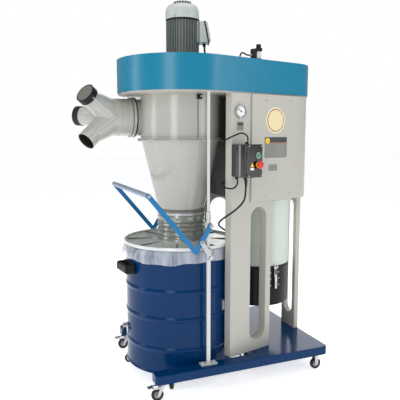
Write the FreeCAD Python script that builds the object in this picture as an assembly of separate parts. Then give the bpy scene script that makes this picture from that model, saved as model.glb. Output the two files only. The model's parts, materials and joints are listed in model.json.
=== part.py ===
import FreeCAD, Part
import math
import os

# Mobile cyclone dust collector. Millimetres, +Z up, floor at z = 0.
# The shapes are drawn about the cyclone's upright axis (x = 0, y = 0) and are shifted
# by -PLAN_CENTRE when they are written, so the row's origin is the centre of the
# machine's overall plan, on the floor. The front, with the switch box, faces -Y.

V = FreeCAD.Vector
UP = V(0, 0, 1)

# Layout
PLAN_CENTRE = V(112.8, -31.8, 0)    # middle of the overall box, without the cord
TAPER = math.radians(13.85)        # how far the front and rear faces turn inward
TOWER_PLANE = 347.0                # distance from the cyclone axis to the front face
SHEET = 3.0                        # common sheet thickness
GAP = 0.5                          # clearance between faces of different bodies

# Base
BASE_LEFT, BASE_RIGHT = -280.0, 747.0
BASE_HALF_DEPTH = 390.0
FORK_HALF_DEPTH = 318.0
FORK_END = 325.0
BASE_BOTTOM, BASE_TOP = 93.0, 140.0
BASE_CORNER = 25.0

# Columns, leg and filter enclosure
COLUMN_WIDTH, COLUMN_DEPTH = 292.0, 52.0
COLUMN_LEFT = 80.0                 # along the front face, from the foot of the axis normal
SLOT_WIDTH, SLOT_BOTTOM, SLOT_TOP = 116.0, 199.0, 949.0
SLOT_OFFSET = 195.0                # slot centre from the column's left edge
LEG_X, LEG_THICKNESS, LEG_DEPTH = 718.0, 30.0, 150.0
LEG_SLOT_WIDTH, LEG_SLOT_BOTTOM, LEG_SLOT_TOP = 90.0, 226.0, 950.0
ENCLOSURE_BOTTOM, ENCLOSURE_LEFT, ENCLOSURE_END = 980.0, 255.0, 774.0
PANEL_PROUD = 10.0
PANEL_LEFT = 290.0
PANEL_RIGHT_OF_COLUMN = 460.0

# Fan housing
PLATE_BOTTOM, HOUSING_BOTTOM, HOUSING_TOP = 1552.0, 1560.0, 1735.0
HOUSING_END = 786.0
OUTLET_X = 491.0                   # axis of the filter and of the opening above it
FAN_X = 12.0                       # motor and impeller axis

# Cyclone
BARREL_R, BARREL_BOTTOM = 222.0, 1314.0
CONE_BOTTOM_R, CONE_BOTTOM = 128.0, 925.0
SPIGOT_BOTTOM = 872.0
FLANGE_R, FLANGE_T = 240.0, 6.0
INLET_R, INLET_Y, INLET_Z = 101.5, 118.0, 1435.0
INLET_RING_X, INLET_RING_WIDTH = -235.0, 32.0

# Inlet wye: three branches, each leaning 45 degrees off the main pipe
WYE_LEFT = -360.0
BRANCH_R, BRANCH_END_X, BRANCH_RHO, BRANCH_STRAIGHT = 51.0, -519.0, 150.0, 60.0
BRANCH_ANGLES = {"upper": 52.0, "lower": -60.0, "rear": 176.0}
CAP_R, CAP_LENGTH = 54.5, 34.0

# Motor
MOTOR_R, MOTOR_BOTTOM, MOTOR_TOP = 90.0, 1745.0, 1953.0
COWL_R, COWL_TOP = 92.0, 2036.0
FIN_COUNT = 36

# Drum
DRUM_X, DRUM_R, HOOP_R = -15.0, 300.0, 305.0
DRUM_BOTTOM, DRUM_TOP = 70.0, 744.0
HOOP_HEIGHTS = (207.0, 372.0, 521.0)
SKIRT_BOTTOM = 676.0
LID_R, LID_BOTTOM, LID_RIM_TOP = 311.0, 745.0, 762.0
COLLAR_R, COLLAR_TOP = 130.0, 800.0
HOSE_R, HOSE_TOP = 137.0, 915.0

# Lid lift
POST_X, POST_Y, POST_R = 21.0, 342.0, 8.0
ARM_Y = 358.0
PIVOT = (26.0, 881.0)              # x and z of the lever's pivot
ELBOW = (-55.0, 750.0)
HANDLE = (-300.0, 1045.0)
LINK_UPPER = (-25.0, 798.5)
LINK_LOWER = (22.0, 718.0)
ARM_WIDTH, ARM_T = 25.0, 8.0

# Filter
FILTER_R = 189.0
FILTER_BOTTOM, PAN_BOTTOM = 572.0, 350.0

LATCH_ANGLES = {"front": -85.0, "rear": 95.0}
LATCH_PIVOT_Z, LATCH_PIVOT_OUT = 580.0, 9.0

# Switch box on the front column. Glands: distance from its left side, depth, radius, lower
# and upper end. Buttons: distance from its left side, height, radius of the well
SWITCH_LEFT, SWITCH_WIDTH, SWITCH_DEPTH = COLUMN_LEFT + 3.0, 95.0, 128.0
SWITCH_BOTTOM, SWITCH_TOP = 1124.0, 1292.0
SWITCH_BOW = 12.0
GLANDS = {
    "lead_below": (12.0, 30.0, 9.0, 1110.0, SWITCH_BOTTOM),
    "mains": (32.0, 74.0, 10.0, 1110.0, SWITCH_BOTTOM),
    "lead_above": (40.0, 75.0, 8.0, SWITCH_TOP, 1308.0),
}
BUTTONS = {"start": (66.0, 1236.0, 11.0), "stop": (66.0, 1188.0, 11.0)}

# Gauge, badge, plates and air regulator
GAUGE_X, GAUGE_Z, GAUGE_R, GAUGE_DEPTH = COLUMN_LEFT + 53.0, 1459.0, 34.0, 16.0
BADGE_X, BADGE_Z, BADGE_R = 380.0, 1417.0, 70.0
REGULATOR_X, REGULATOR_Y = 340.0, -222.0
KNOB_X, KNOB_R, KNOB_BOTTOM, KNOB_HEIGHT = 362.0, 13.0, HOUSING_TOP + 64.0 + GAP, 18.0

# Terminal box on the motor, turned a little toward the front
TERMINAL_BOTTOM, TERMINAL_TOP, TERMINAL_TURN = 1832.0, 1946.0, -22.0

# Casters: wheel radius, wheel width, trail and mounting height
BASE_WHEEL = (31.5, 24.0, 30.0, BASE_BOTTOM)
RIGID_WHEEL = (31.5, 24.0, 0.0, BASE_BOTTOM)
DRUM_WHEEL = (25.0, 20.0, 25.0, DRUM_BOTTOM)
PEDAL_PIN_BACK, PEDAL_PIN_Z = 14.0, 72.0
BASE_SWIVELS = {"front_left": (-235.0, -354.0), "rear_left": (-235.0, 354.0)}
BASE_RIGIDS = {"front_right": (690.0, -350.0), "rear_right": (690.0, 350.0)}
DRUM_CASTER_RING = 278.0
DRUM_CASTERS = {"front_right": -28.0, "rear_right": 62.0, "rear_left": 152.0, "front_left": 242.0}

# Mains cord: hand-chosen route from the gland under the switch box, down behind the front
# column and under the base to the coil, and the short tail from the coil to the plug
CORD_R = 5.0
CORD_ROUTE = [
    (212.4, -381.2, 1109.8), (212.4, -381.2, 1058), (200, -391, 1000), (148, -378, 950),
    (100, -330, 905), (104, -270, 868), (152, -228, 836), (214, -225, 797),
    (248, -228, 708), (255, -230, 590), (251, -228, 460), (256, -231, 330),
    (253, -228, 215), (258, -226, 128), (288, -210, 58), (344, -184, 16), (414, -170, 5.5),
]
CORD_TAIL = [(424, -169.5, 45), (460, -172, 40), (497, -168, 24), (530, -160, 16)]
COIL_X, COIL_Y, COIL_R, COIL_TURNS = 414.0, -115.0, 55.0, 5
PLUG_R = 16.0


# ---------------------------------------------------------------- helpers

def box(x0, x1, y0, y1, z0, z1):
    """A box from its lowest to its highest corner."""
    return Part.makeBox(x1 - x0, y1 - y0, z1 - z0, V(x0, y0, z0))


def rod(radius, start, end):
    """A cylinder between two points."""
    a, b = V(*start), V(*end)
    return Part.makeCylinder(radius, (b - a).Length, a, b - a)


def ring(outer, inner, z0, z1, x=0.0, y=0.0):
    """An upright tube."""
    body = Part.makeCylinder(outer, z1 - z0, V(x, y, z0))
    return body.cut(Part.makeCylinder(inner, z1 - z0 + 2, V(x, y, z0 - 1)))


def fuse(shapes):
    """One shape from several that touch or overlap."""
    result = shapes[0]
    if len(shapes) > 1:
        result = shapes[0].multiFuse(shapes[1:])
    return result.removeSplitter()


def group(shapes):
    """Separate solids that share one node."""
    solids = [solid for shape in shapes for solid in shape.Solids]
    return Part.makeCompound(solids)


def spin(shape, degrees, x=0.0, y=0.0):
    """A copy turned about an upright axis."""
    copy = shape.copy()
    copy.rotate(V(x, y, 0), UP, degrees)
    return copy


def mirror_y(shape):
    """The rear twin of a front part."""
    return shape.mirror(V(0, 0, 0), V(0, 1, 0))


def revolve(points, x=0.0, y=0.0):
    """A solid of revolution from (radius, z) corners, about an upright axis."""
    corners = [V(r, 0, z) for r, z in points]
    face = Part.Face(Part.makePolygon(corners + corners[:1]))
    solid = face.revolve(V(0, 0, 0), UP, 360)
    solid.translate(V(x, y, 0))
    return solid


def tapered_prism(plane, end, z0, z1):
    """The tower's plan: a round left end and flat sides closing to a smaller round end."""
    s, c = math.sin(TAPER), math.cos(TAPER)
    centre = (end - plane) / (1.0 - s)
    small = plane - s * centre
    a, b = V(plane * s, -plane * c, z0), V(centre + small * s, -small * c, z0)
    d, e = V(b.x, -b.y, z0), V(a.x, -a.y, z0)
    edges = [
        Part.LineSegment(a, b).toShape(),
        Part.Arc(b, V(end, 0, z0), d).toShape(),
        Part.LineSegment(d, e).toShape(),
        Part.Arc(e, V(-plane, 0, z0), a).toShape(),
    ]
    return Part.Face(Part.Wire(edges)).extrude(V(0, 0, z1 - z0))


def on_front(shape):
    """Moves a shape drawn with x along the front face, y = 0 on it, into place."""
    copy = shape.copy()
    copy.translate(V(0, -TOWER_PLANE, 0))
    copy.rotate(V(0, 0, 0), UP, math.degrees(TAPER))
    return copy


def slot_prism(centre, width, z0, z1, y0, y1, grow=0.0):
    """A tall slot with round ends, cut along Y."""
    r = width / 2 + grow
    low, high = z0 + width / 2, z1 - width / 2
    parts = [
        box(centre - r, centre + r, y0, y1, low, high),
        rod(r, (centre, y0, low), (centre, y1, low)),
        rod(r, (centre, y0, high), (centre, y1, high)),
    ]
    return fuse(parts)


def round_upright_edges(shape, radius):
    """The same shape with its upright edges rounded."""
    upright = [e for e in shape.Edges if abs(e.tangentAt(e.FirstParameter).z) > 0.99]
    return shape.makeFillet(radius, upright)


def slotted_post(width, depth, z0, z1, slot_centre, slot_width, slot_z0, slot_z1, wall=4.0):
    """A rectangular tube with a lined slot through it. It starts at x = 0, y = 0."""
    tube = round_upright_edges(box(0, width, 0, depth, z0, z1), wall)
    tube = tube.cut(box(wall, width - wall, wall, depth - wall, z0 - 1, z1 + 1))
    liner = slot_prism(slot_centre, slot_width, slot_z0, slot_z1, 0, depth, wall)
    slot = slot_prism(slot_centre, slot_width, slot_z0, slot_z1, -1, depth + 1)
    return tube.fuse(liner).cut(slot).removeSplitter()


def flat_bar(start, end, width, thickness):
    """A flat bar between two points, its width upright, with round ends."""
    a, b = V(*start), V(*end)
    length = (b - a).Length
    bar = Part.makeBox(length, thickness, width, V(0, -thickness / 2, -width / 2))
    for x in (0, length):
        bar = bar.fuse(rod(width / 2, (x, -thickness / 2, 0), (x, thickness / 2, 0)))
    along = (b - a).normalize()
    side = UP.cross(along).normalize()
    turn = FreeCAD.Placement(a, FreeCAD.Rotation(along, side, UP, "XYZ"))
    bar.Placement = turn.multiply(bar.Placement)
    return bar


def tube_along(points, radius):
    """Straight runs joined by tangent arcs, each as large as its two runs allow."""
    corners = [V(*p) for p in points]
    edges, here = [], corners[0]
    for before, corner, after in zip(corners, corners[1:], corners[2:]):
        inward, outward = (corner - before), (after - corner)
        shorter = min(inward.Length, outward.Length)
        turn = inward.getAngle(outward)
        inward.normalize()
        outward.normalize()
        reach = 0.45 * shorter
        bend = reach / math.tan(turn / 2)
        first, last = corner - inward * reach, corner + outward * reach
        to_middle = (outward - inward).normalize()
        middle = corner + to_middle * (bend / math.cos(turn / 2) - bend)
        if (first - here).Length > 1e-6:
            edges.append(Part.LineSegment(here, first).toShape())
        edges.append(Part.Arc(first, middle, last).toShape())
        here = last
    edges.append(Part.LineSegment(here, corners[-1]).toShape())
    path = Part.Wire(edges)
    start = corners[1] - corners[0]
    circle = Part.Wire([Part.makeCircle(radius, corners[0], start)])
    tube = path.makePipeShell([circle], True, True)
    return tube


# ---------------------------------------------------------------- frame

def base_outline(inset, z0, z1):
    """The fork-shaped base, open toward -X, shrunk all round by inset."""
    plate = box(BASE_LEFT + inset, BASE_RIGHT - inset, -BASE_HALF_DEPTH + inset,
                BASE_HALF_DEPTH - inset, z0, z1)
    plate = round_upright_edges(plate, BASE_CORNER - inset)
    fork = box(BASE_LEFT - 50, FORK_END + inset, -FORK_HALF_DEPTH - inset,
               FORK_HALF_DEPTH + inset, z0 - 1, z1 + 1)
    return plate.cut(fork)


def base_frame():
    """Folded tray, open underneath, with pads for the casters."""
    tray = base_outline(0, BASE_BOTTOM, BASE_TOP)
    rim = [e for e in tray.Edges if e.BoundBox.ZMin > BASE_TOP - 0.01]
    tray = tray.makeFillet(4.0, rim)
    tray = tray.cut(base_outline(4.0, BASE_BOTTOM - 1, BASE_TOP - 4.0))
    pads = []
    for x, y in list(BASE_SWIVELS.values()) + list(BASE_RIGIDS.values()):
        edge = math.copysign(BASE_HALF_DEPTH - 3, y)
        y0, y1 = sorted((y - math.copysign(33, y), edge))
        pads.append(box(x - 38, x + 38, y0, y1, BASE_BOTTOM, BASE_BOTTOM + 4))
    return fuse([tray] + pads)


def side_columns():
    """Two box columns, front and rear, each with a long slot."""
    post = slotted_post(COLUMN_WIDTH, COLUMN_DEPTH, BASE_TOP, PLATE_BOTTOM,
                        SLOT_OFFSET, SLOT_WIDTH, SLOT_BOTTOM, SLOT_TOP)
    post.translate(V(COLUMN_LEFT, 0, 0))
    front = on_front(post)
    return group([front, mirror_y(front)])


def right_leg():
    """Slotted box leg under the right end of the enclosure."""
    leg = slotted_post(LEG_DEPTH, LEG_THICKNESS, BASE_TOP, ENCLOSURE_BOTTOM,
                       LEG_DEPTH / 2, LEG_SLOT_WIDTH, LEG_SLOT_BOTTOM, LEG_SLOT_TOP)
    leg = spin(leg, 90)
    leg.translate(V(LEG_X + LEG_THICKNESS, -LEG_DEPTH / 2, 0))
    return leg


def filter_enclosure():
    """Sheet duct that carries clean air from the fan down into the filter."""
    z0, z1 = ENCLOSURE_BOTTOM, PLATE_BOTTOM
    proud = tapered_prism(TOWER_PLANE + PANEL_PROUD, ENCLOSURE_END, z0, z1)
    proud = proud.common(box(PANEL_LEFT, 900, -500, 500, z0, z1))
    behind = TOWER_PLANE - COLUMN_DEPTH
    inner = tapered_prism(behind, ENCLOSURE_END, z0, z1)
    inner = inner.common(box(ENCLOSURE_LEFT, PANEL_LEFT, -500, 500, z0, z1))
    post = box(COLUMN_LEFT, COLUMN_LEFT + COLUMN_WIDTH, 0, COLUMN_DEPTH, z0, z1)
    post = on_front(post)
    shell = proud.fuse(inner).cut(post).cut(mirror_y(post))
    top = z1 + 1
    wide = tapered_prism(TOWER_PLANE + PANEL_PROUD - SHEET, ENCLOSURE_END - SHEET, z0 + SHEET, top)
    wide = wide.common(box(PANEL_RIGHT_OF_COLUMN, 900, -500, 500, z0, top))
    narrow = tapered_prism(behind - SHEET, ENCLOSURE_END - SHEET, z0 + SHEET, top)
    narrow = narrow.common(box(ENCLOSURE_LEFT + SHEET, PANEL_RIGHT_OF_COLUMN + 1, -500, 500, z0, top))
    mouth = Part.makeCylinder(FILTER_R - 24, 20, V(OUTLET_X, 0, z0 - 5))
    return shell.cut(wide).cut(narrow).cut(mouth).removeSplitter()


# ---------------------------------------------------------------- fan and motor

def fan_housing():
    """The tall painted band around the fan."""
    band = tapered_prism(TOWER_PLANE, HOUSING_END, HOUSING_BOTTOM, HOUSING_TOP)
    hollow = tapered_prism(TOWER_PLANE - SHEET, HOUSING_END - SHEET,
                           HOUSING_BOTTOM - 1, HOUSING_TOP + 1)
    return band.cut(hollow)


def housing_top_plate():
    """Lid of the fan housing, set inside the band, with the motor's opening."""
    plate = tapered_prism(TOWER_PLANE - SHEET, HOUSING_END - SHEET, HOUSING_TOP - 5, HOUSING_TOP)
    return plate.cut(Part.makeCylinder(40, 20, V(FAN_X, 0, HOUSING_TOP - 10)))


def housing_bottom_plate():
    """Floor of the fan housing, with the fan's eye and the outlet to the filter."""
    plate = tapered_prism(TOWER_PLANE - 5, HOUSING_END - 5, PLATE_BOTTOM, HOUSING_BOTTOM)
    plate = plate.cut(Part.makeCylinder(110, 20, V(FAN_X, 0, PLATE_BOTTOM - 5)))
    return plate.cut(Part.makeCylinder(150, 20, V(OUTLET_X, 0, PLATE_BOTTOM - 5)))


def impeller():
    """Backward-leaning blades between a back plate and an open front ring."""
    top = HOUSING_TOP - 12
    plate = ring(175, 12.0, top - 4, top, FAN_X)
    hub = ring(32, 12.0, top - 45, top - 4, FAN_X)
    blades = []
    for index in range(10):
        blade = box(FAN_X + 30, FAN_X + 172, -2, 2, top - 100, top - 4)
        blade.rotate(V(FAN_X + 30, 0, 0), UP, -28)
        blades.append(spin(blade, 36 * index, FAN_X))
    return fuse([plate, hub] + blades)


def motor_shaft():
    """Rotor shaft with the rotor core and the cooling fan."""
    shaft = rod(11.95, (FAN_X, 0, HOUSING_TOP - 60), (FAN_X, 0, MOTOR_TOP + 50))
    core = rod(48, (FAN_X, 0, MOTOR_BOTTOM + 45), (FAN_X, 0, MOTOR_TOP - 45))
    fan = rod(62, (FAN_X, 0, MOTOR_TOP + 18), (FAN_X, 0, MOTOR_TOP + 22))
    vanes = [spin(box(FAN_X + 8, FAN_X + 62, -1.5, 1.5, MOTOR_TOP + 22, MOTOR_TOP + 42),
                  45 * i, FAN_X) for i in range(8)]
    return fuse([shaft, core, fan] + vanes)


def motor_body():
    """Finned stator casing with its mounting flange and end shields."""
    inner = MOTOR_R - 12
    casing = ring(inner, inner - 8, MOTOR_BOTTOM, MOTOR_TOP, FAN_X)
    flange = ring(112, 12.5, HOUSING_TOP, MOTOR_BOTTOM + 4, FAN_X)
    shield = ring(inner - 1, 12.5, MOTOR_TOP - 8, MOTOR_TOP, FAN_X)
    fins = []
    for index in range(FIN_COUNT):
        fin = box(FAN_X + inner - 3, FAN_X + MOTOR_R, -1.6, 1.6, MOTOR_BOTTOM + 4, MOTOR_TOP - 6)
        fins.append(spin(fin, 360.0 * index / FIN_COUNT, FAN_X))
    return fuse([casing, flange, shield] + fins)


def motor_fan_cowl():
    """Pressed cover over the cooling fan, with an intake cap on top."""
    z0, z1 = MOTOR_TOP - 5, COWL_TOP
    outer = revolve([(0, z0), (COWL_R + 1, z0), (COWL_R, z1 - 24), (COWL_R - 8, z1 - 9),
                     (COWL_R - 24, z1), (0, z1)], FAN_X)
    inner = revolve([(0, z0 - 1), (COWL_R - 1.5, z0 - 1), (COWL_R - 2.5, z1 - 25),
                     (COWL_R - 10, z1 - 12), (COWL_R - 25, z1 - 2.5), (0, z1 - 2.5)], FAN_X)
    cap = ring(48, 40, z1 - 1, z1 + 16, FAN_X)
    disc = rod(48, (FAN_X, 0, z1 + 13), (FAN_X, 0, z1 + 16))
    mouth = rod(40, (FAN_X, 0, z1 - 5), (FAN_X, 0, z1 + 5))
    return fuse([outer.cut(inner).cut(mouth), cap, disc])


def junction_box():
    """Terminal box on the motor's right side: base, gasket and slanted cover."""
    z0, z1 = TERMINAL_BOTTOM, TERMINAL_TOP
    x0 = MOTOR_R - 8
    profile = [V(x0, 0, z0), V(x0 + 58, 0, z0), V(x0 + 36, 0, z1), V(x0, 0, z1)]
    lean = V(4, 0, 0.7)

    def wedge(points, half):
        face = Part.Face(Part.makePolygon(points + points[:1]))
        solid = face.extrude(V(0, 2 * half, 0))
        solid.translate(V(0, -half, 0))
        return solid

    base = wedge(profile, 46).cut(rod(MOTOR_R + 0.2, (0, 0, z0 - 9), (0, 0, z1 + 9)))
    gasket = wedge([profile[1], profile[1] + lean, profile[2] + lean, profile[2]], 48)
    cover = wedge([profile[1] + lean, V(x0 + 74, 0, z0 + 8), V(x0 + 56, 0, z1 - 4),
                   profile[2] + lean], 48)
    gland = rod(8, (x0 + 38, 0, z0 - 16), (x0 + 38, 0, z0))
    parts = []
    for solid in (base, gasket, cover, gland):
        turned = spin(solid, TERMINAL_TURN)
        turned.translate(V(FAN_X, 0, 0))
        parts.append(turned)
    return group(parts)


# ---------------------------------------------------------------- cyclone

def cyclone_barrel():
    """Separator barrel with its tangential inlet pipe and bottom flange."""
    drum = Part.makeCylinder(BARREL_R, PLATE_BOTTOM - BARREL_BOTTOM, V(0, 0, BARREL_BOTTOM))
    left = INLET_RING_X + 1
    pipe = rod(INLET_R, (left, INLET_Y, INLET_Z), (-60, INLET_Y, INLET_Z))
    bore = rod(INLET_R - SHEET, (left - 1, INLET_Y, INLET_Z), (-20, INLET_Y, INLET_Z))
    hollow = Part.makeCylinder(BARREL_R - SHEET, 300, V(0, 0, BARREL_BOTTOM - 10))
    flange = ring(FLANGE_R, BARREL_R - 1, BARREL_BOTTOM, BARREL_BOTTOM + FLANGE_T)
    seam = box(70, 78, -216, -209, BARREL_BOTTOM + 8, PLATE_BOTTOM)
    seam = seam.cut(Part.makeCylinder(BARREL_R - 1, 400, V(0, 0, BARREL_BOTTOM - 10)))
    body = fuse([drum, pipe]).cut(hollow).cut(bore)
    return fuse([body, flange, seam])


def cyclone_cone():
    """Cone with its top flange and the straight spigot for the hose."""
    top = BARREL_BOTTOM
    outer = [(BARREL_R - 3, top), (FLANGE_R, top), (FLANGE_R, top - FLANGE_T),
             (BARREL_R - 3, top - FLANGE_T), (CONE_BOTTOM_R, CONE_BOTTOM),
             (CONE_BOTTOM_R, SPIGOT_BOTTOM)]
    inner = [(CONE_BOTTOM_R - SHEET, SPIGOT_BOTTOM), (CONE_BOTTOM_R - SHEET, CONE_BOTTOM),
             (BARREL_R - 3 - SHEET, top - FLANGE_T), (BARREL_R - 3 - SHEET, top)]
    return revolve(outer + inner)


def machine_bolts():
    """Visible fasteners on the tower: flange bolts and motor flange bolts."""
    bolts = []
    for index in range(8):
        angle = math.radians(22.5 + 45 * index)
        x, y = 232 * math.cos(angle), 232 * math.sin(angle)
        z = BARREL_BOTTOM - FLANGE_T
        bolts.append(Part.makeCylinder(7, 6, V(x, y, z - 6)))
        x, y = FAN_X + 101 * math.cos(angle), 101 * math.sin(angle)
        bolts.append(Part.makeCylinder(7, 6, V(x, y, MOTOR_BOTTOM + 4)))
    return group(bolts)


def branch_frame(name):
    """The end point and outward direction of one branch of the wye."""
    angle = math.radians(BRANCH_ANGLES[name])
    radial = V(0, -math.cos(angle), math.sin(angle))
    centre = V(BRANCH_END_X, INLET_Y, INLET_Z) + radial * BRANCH_RHO
    return centre, (radial - V(1, 0, 0)).normalize()


def wye_solid(shrink, extra):
    """Main sleeve and three tapering branches, thinner all round by shrink."""
    main_r = INLET_R - shrink
    left = V(WYE_LEFT, INLET_Y, INLET_Z)
    start = V(INLET_RING_X + extra, INLET_Y, INLET_Z)
    parts = [Part.makeCylinder(main_r, (start - left).Length, left, V(1, 0, 0))]
    for index, name in enumerate(BRANCH_ANGLES):
        centre, along = branch_frame(name)
        root = centre - along * BRANCH_STRAIGHT
        inside = left + V(3 * (index + 1), 0, 0)
        mouth = Part.Wire([Part.makeCircle(main_r - 1, inside, V(-1, 0, 0))])
        throat = Part.Wire([Part.makeCircle(BRANCH_R - shrink, root, along)])
        parts.append(Part.makeLoft([mouth, throat], True, True))
        parts.append(Part.makeCylinder(BRANCH_R - shrink, BRANCH_STRAIGHT + extra, root, along))
    return parts[0].multiFuse(parts[1:])


def inlet_wye():
    """Three-way adapter: one large inlet to three hose ports, with its bead ring."""
    bead = rod(INLET_R + 7, (INLET_RING_X - INLET_RING_WIDTH, INLET_Y, INLET_Z),
               (INLET_RING_X, INLET_Y, INLET_Z))
    return wye_solid(0, 0).fuse(bead).cut(wye_solid(2.0, 1.0))


def port_cap(name):
    """Push-on cap for an unused hose port."""
    centre, along = branch_frame(name)
    start = centre - along * (CAP_LENGTH - 4)
    cup = Part.makeCylinder(CAP_R, CAP_LENGTH, start, along)
    hollow = Part.makeCylinder(BRANCH_R + 0.4, CAP_LENGTH - 2.5, start - along, along)
    return cup.cut(hollow)


# ---------------------------------------------------------------- drum

def drum_shell():
    """Open-topped steel drum with three rolling hoops."""
    outer = Part.makeCylinder(DRUM_R, DRUM_TOP - DRUM_BOTTOM, V(DRUM_X, 0, DRUM_BOTTOM))
    hollow = Part.makeCylinder(DRUM_R - SHEET, DRUM_TOP, V(DRUM_X, 0, DRUM_BOTTOM + SHEET))
    hoops = []
    for z in HOOP_HEIGHTS + (DRUM_BOTTOM + 6, DRUM_TOP - 5):
        hoops.append(revolve([(DRUM_R - 1, z - 9), (HOOP_R - 1, z - 4), (HOOP_R, z),
                              (HOOP_R - 1, z + 4), (DRUM_R - 1, z + 9)], DRUM_X))
    trimmed = [hoop.common(box(-400, 400, -400, 400, DRUM_BOTTOM, DRUM_TOP)) for hoop in hoops]
    return fuse([outer.cut(hollow)] + trimmed)


def bag_skirt():
    """Top of the plastic drum liner, folded down over the rim."""
    z0, z1 = SKIRT_BOTTOM, DRUM_TOP
    return ring(HOOP_R + 4, HOOP_R + 0.5, z0, z1, DRUM_X)


def drum_handles():
    """Grip handle at the left and small brackets on the drum's side."""
    z0, z1 = 600.0, 650.0
    wall = Part.makeCylinder(DRUM_R, 900, V(0, 0, 0))
    arms = [box(-348, -280, y - 6, y + 6, z0, z1).cut(wall) for y in (-62, 62)]
    grip = box(-352, -332, -68, 68, z0 + 5, z1 - 5)
    handle = spin(fuse(arms + [grip]), 6)
    bracket = box(-332, -280, -30, 30, 228, 280).cut(wall)
    bracket = spin(bracket.cut(box(-320, -308, -40, 40, 236, 272)), -8)
    catch = box(280, 312, -7, 7, 388, 452).cut(wall)
    catch = spin(catch, -58)
    parts = group([handle, bracket, catch])
    parts.translate(V(DRUM_X, 0, 0))
    return parts


def drum_lid():
    """Dished lid with its rim, ribs, hose collar and the two lift lugs."""
    z0 = LID_BOTTOM
    centre_disc = Part.makeCylinder(LID_R - 5, 3, V(DRUM_X, 0, z0))
    plate = centre_disc.cut(Part.makeCylinder(COLLAR_R - 3, 20, V(0, 0, z0 - 5)))
    rim = ring(LID_R, LID_R - 7, z0, LID_RIM_TOP, DRUM_X)
    collar = ring(COLLAR_R, COLLAR_R - 3, z0, COLLAR_TOP)
    collar_bore = Part.makeCylinder(COLLAR_R - 1, 200, V(0, 0, 700))
    ribs = []
    for index in range(8):
        rib = box(0, LID_R - 8, -3, 3, z0 + 3, z0 + 10)
        rib = spin(rib, 22.5 + 45 * index)
        rib.translate(V(DRUM_X, 0, 0))
        ribs.append(rib.cut(collar_bore))
    lug = box(POST_X - 14, POST_X + 14, -POST_Y + 4, -LID_R + 12, z0, z0 + 16)
    sleeve = rod(15, (POST_X, -POST_Y, 708), (POST_X, -POST_Y, z0 + 16))
    bore = rod(POST_R + 0.3, (POST_X, -POST_Y, 700), (POST_X, -POST_Y, z0 + 20))
    pin = rod(5, (LINK_LOWER[0], -POST_Y - 13, LINK_LOWER[1]),
              (LINK_LOWER[0], -ARM_Y - 16, LINK_LOWER[1]))
    front = fuse([lug, sleeve, pin]).cut(bore)
    return fuse([plate, rim, collar, front, mirror_y(front)] + ribs)


def flex_hose():
    """Ribbed hose between the cone's spigot and the lid's collar."""
    z0, z1 = LID_BOTTOM + 12, HOSE_TOP
    steps = 12
    pitch = (z1 - z0) / steps
    inner = CONE_BOTTOM_R + 3.0
    points = [(inner, z0)]
    for index in range(steps):
        z = z0 + pitch * index
        points += [(HOSE_R - 5, z + 0.1), (HOSE_R, z + pitch * 0.5)]
    points += [(HOSE_R - 5, z1), (inner, z1)]
    return revolve(points)


# ---------------------------------------------------------------- lid lift

def guide_posts():
    """Front and rear guide posts: foot, flat lower bar, rod, pivot block and spring."""
    foot = box(POST_X - 45, POST_X + 45, -POST_Y - 22, -POST_Y + 20, BASE_TOP, BASE_TOP + 6)
    lower = box(POST_X - 9.5, POST_X + 9.5, -POST_Y - 6, -POST_Y + 6, BASE_TOP + 6, 702)
    upper = rod(POST_R, (POST_X, -POST_Y, 702), (POST_X, -POST_Y, PLATE_BOTTOM))
    upper = upper.common(tapered_prism(TOWER_PLANE - 5, HOUSING_END - 5, 600, PLATE_BOTTOM + 1))
    block = box(POST_X - 14, POST_X + 14, -POST_Y - 10, -POST_Y + 12, PIVOT[1] - 14, PIVOT[1] + 14)
    pin = rod(6.0, (PIVOT[0], -POST_Y - 5, PIVOT[1]), (PIVOT[0], -ARM_Y - 10, PIVOT[1]))
    nuts = [rod(12, (POST_X, -POST_Y, z), (POST_X, -POST_Y, z + 8)) for z in (896, 940)]
    steel = fuse([foot, lower, upper, block, pin] + nuts)
    coils = []
    for index in range(5):
        torus = Part.makeTorus(11.5, 2.2, V(POST_X, -POST_Y, 908 + 7 * index))
        coils.append(torus)
    spring = fuse(coils + [ring(10.8, POST_R + 0.5, 904, 940, POST_X, -POST_Y)])
    bolts = [rod(7, (POST_X + x, -POST_Y, BASE_TOP + 6), (POST_X + x, -POST_Y, BASE_TOP + 14))
             for x in (-32, 32)]
    front = [steel, spring] + bolts
    return group(front + [mirror_y(part) for part in front])


def lift_lever():
    """Two cranked arms joined by a handle bar."""
    pivot = (PIVOT[0], -ARM_Y, PIVOT[1])
    elbow = (ELBOW[0], -ARM_Y, ELBOW[1])
    corner = (HANDLE[0], -ARM_Y, HANDLE[1])
    arm = fuse([flat_bar(pivot, elbow, ARM_WIDTH, ARM_T), flat_bar(elbow, corner, ARM_WIDTH, ARM_T)])
    arm = arm.cut(rod(6.05, (PIVOT[0], -ARM_Y - 20, PIVOT[1]), (PIVOT[0], -ARM_Y + 20, PIVOT[1])))
    stud = rod(5, (LINK_UPPER[0], -ARM_Y + 4, LINK_UPPER[1]),
               (LINK_UPPER[0], -ARM_Y - 16, LINK_UPPER[1]))
    bar = rod(12, (HANDLE[0], -ARM_Y - 4, HANDLE[1]), (HANDLE[0], ARM_Y + 4, HANDLE[1]))
    arm = fuse([arm, stud])
    return fuse([arm, mirror_y(arm), bar])


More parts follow.
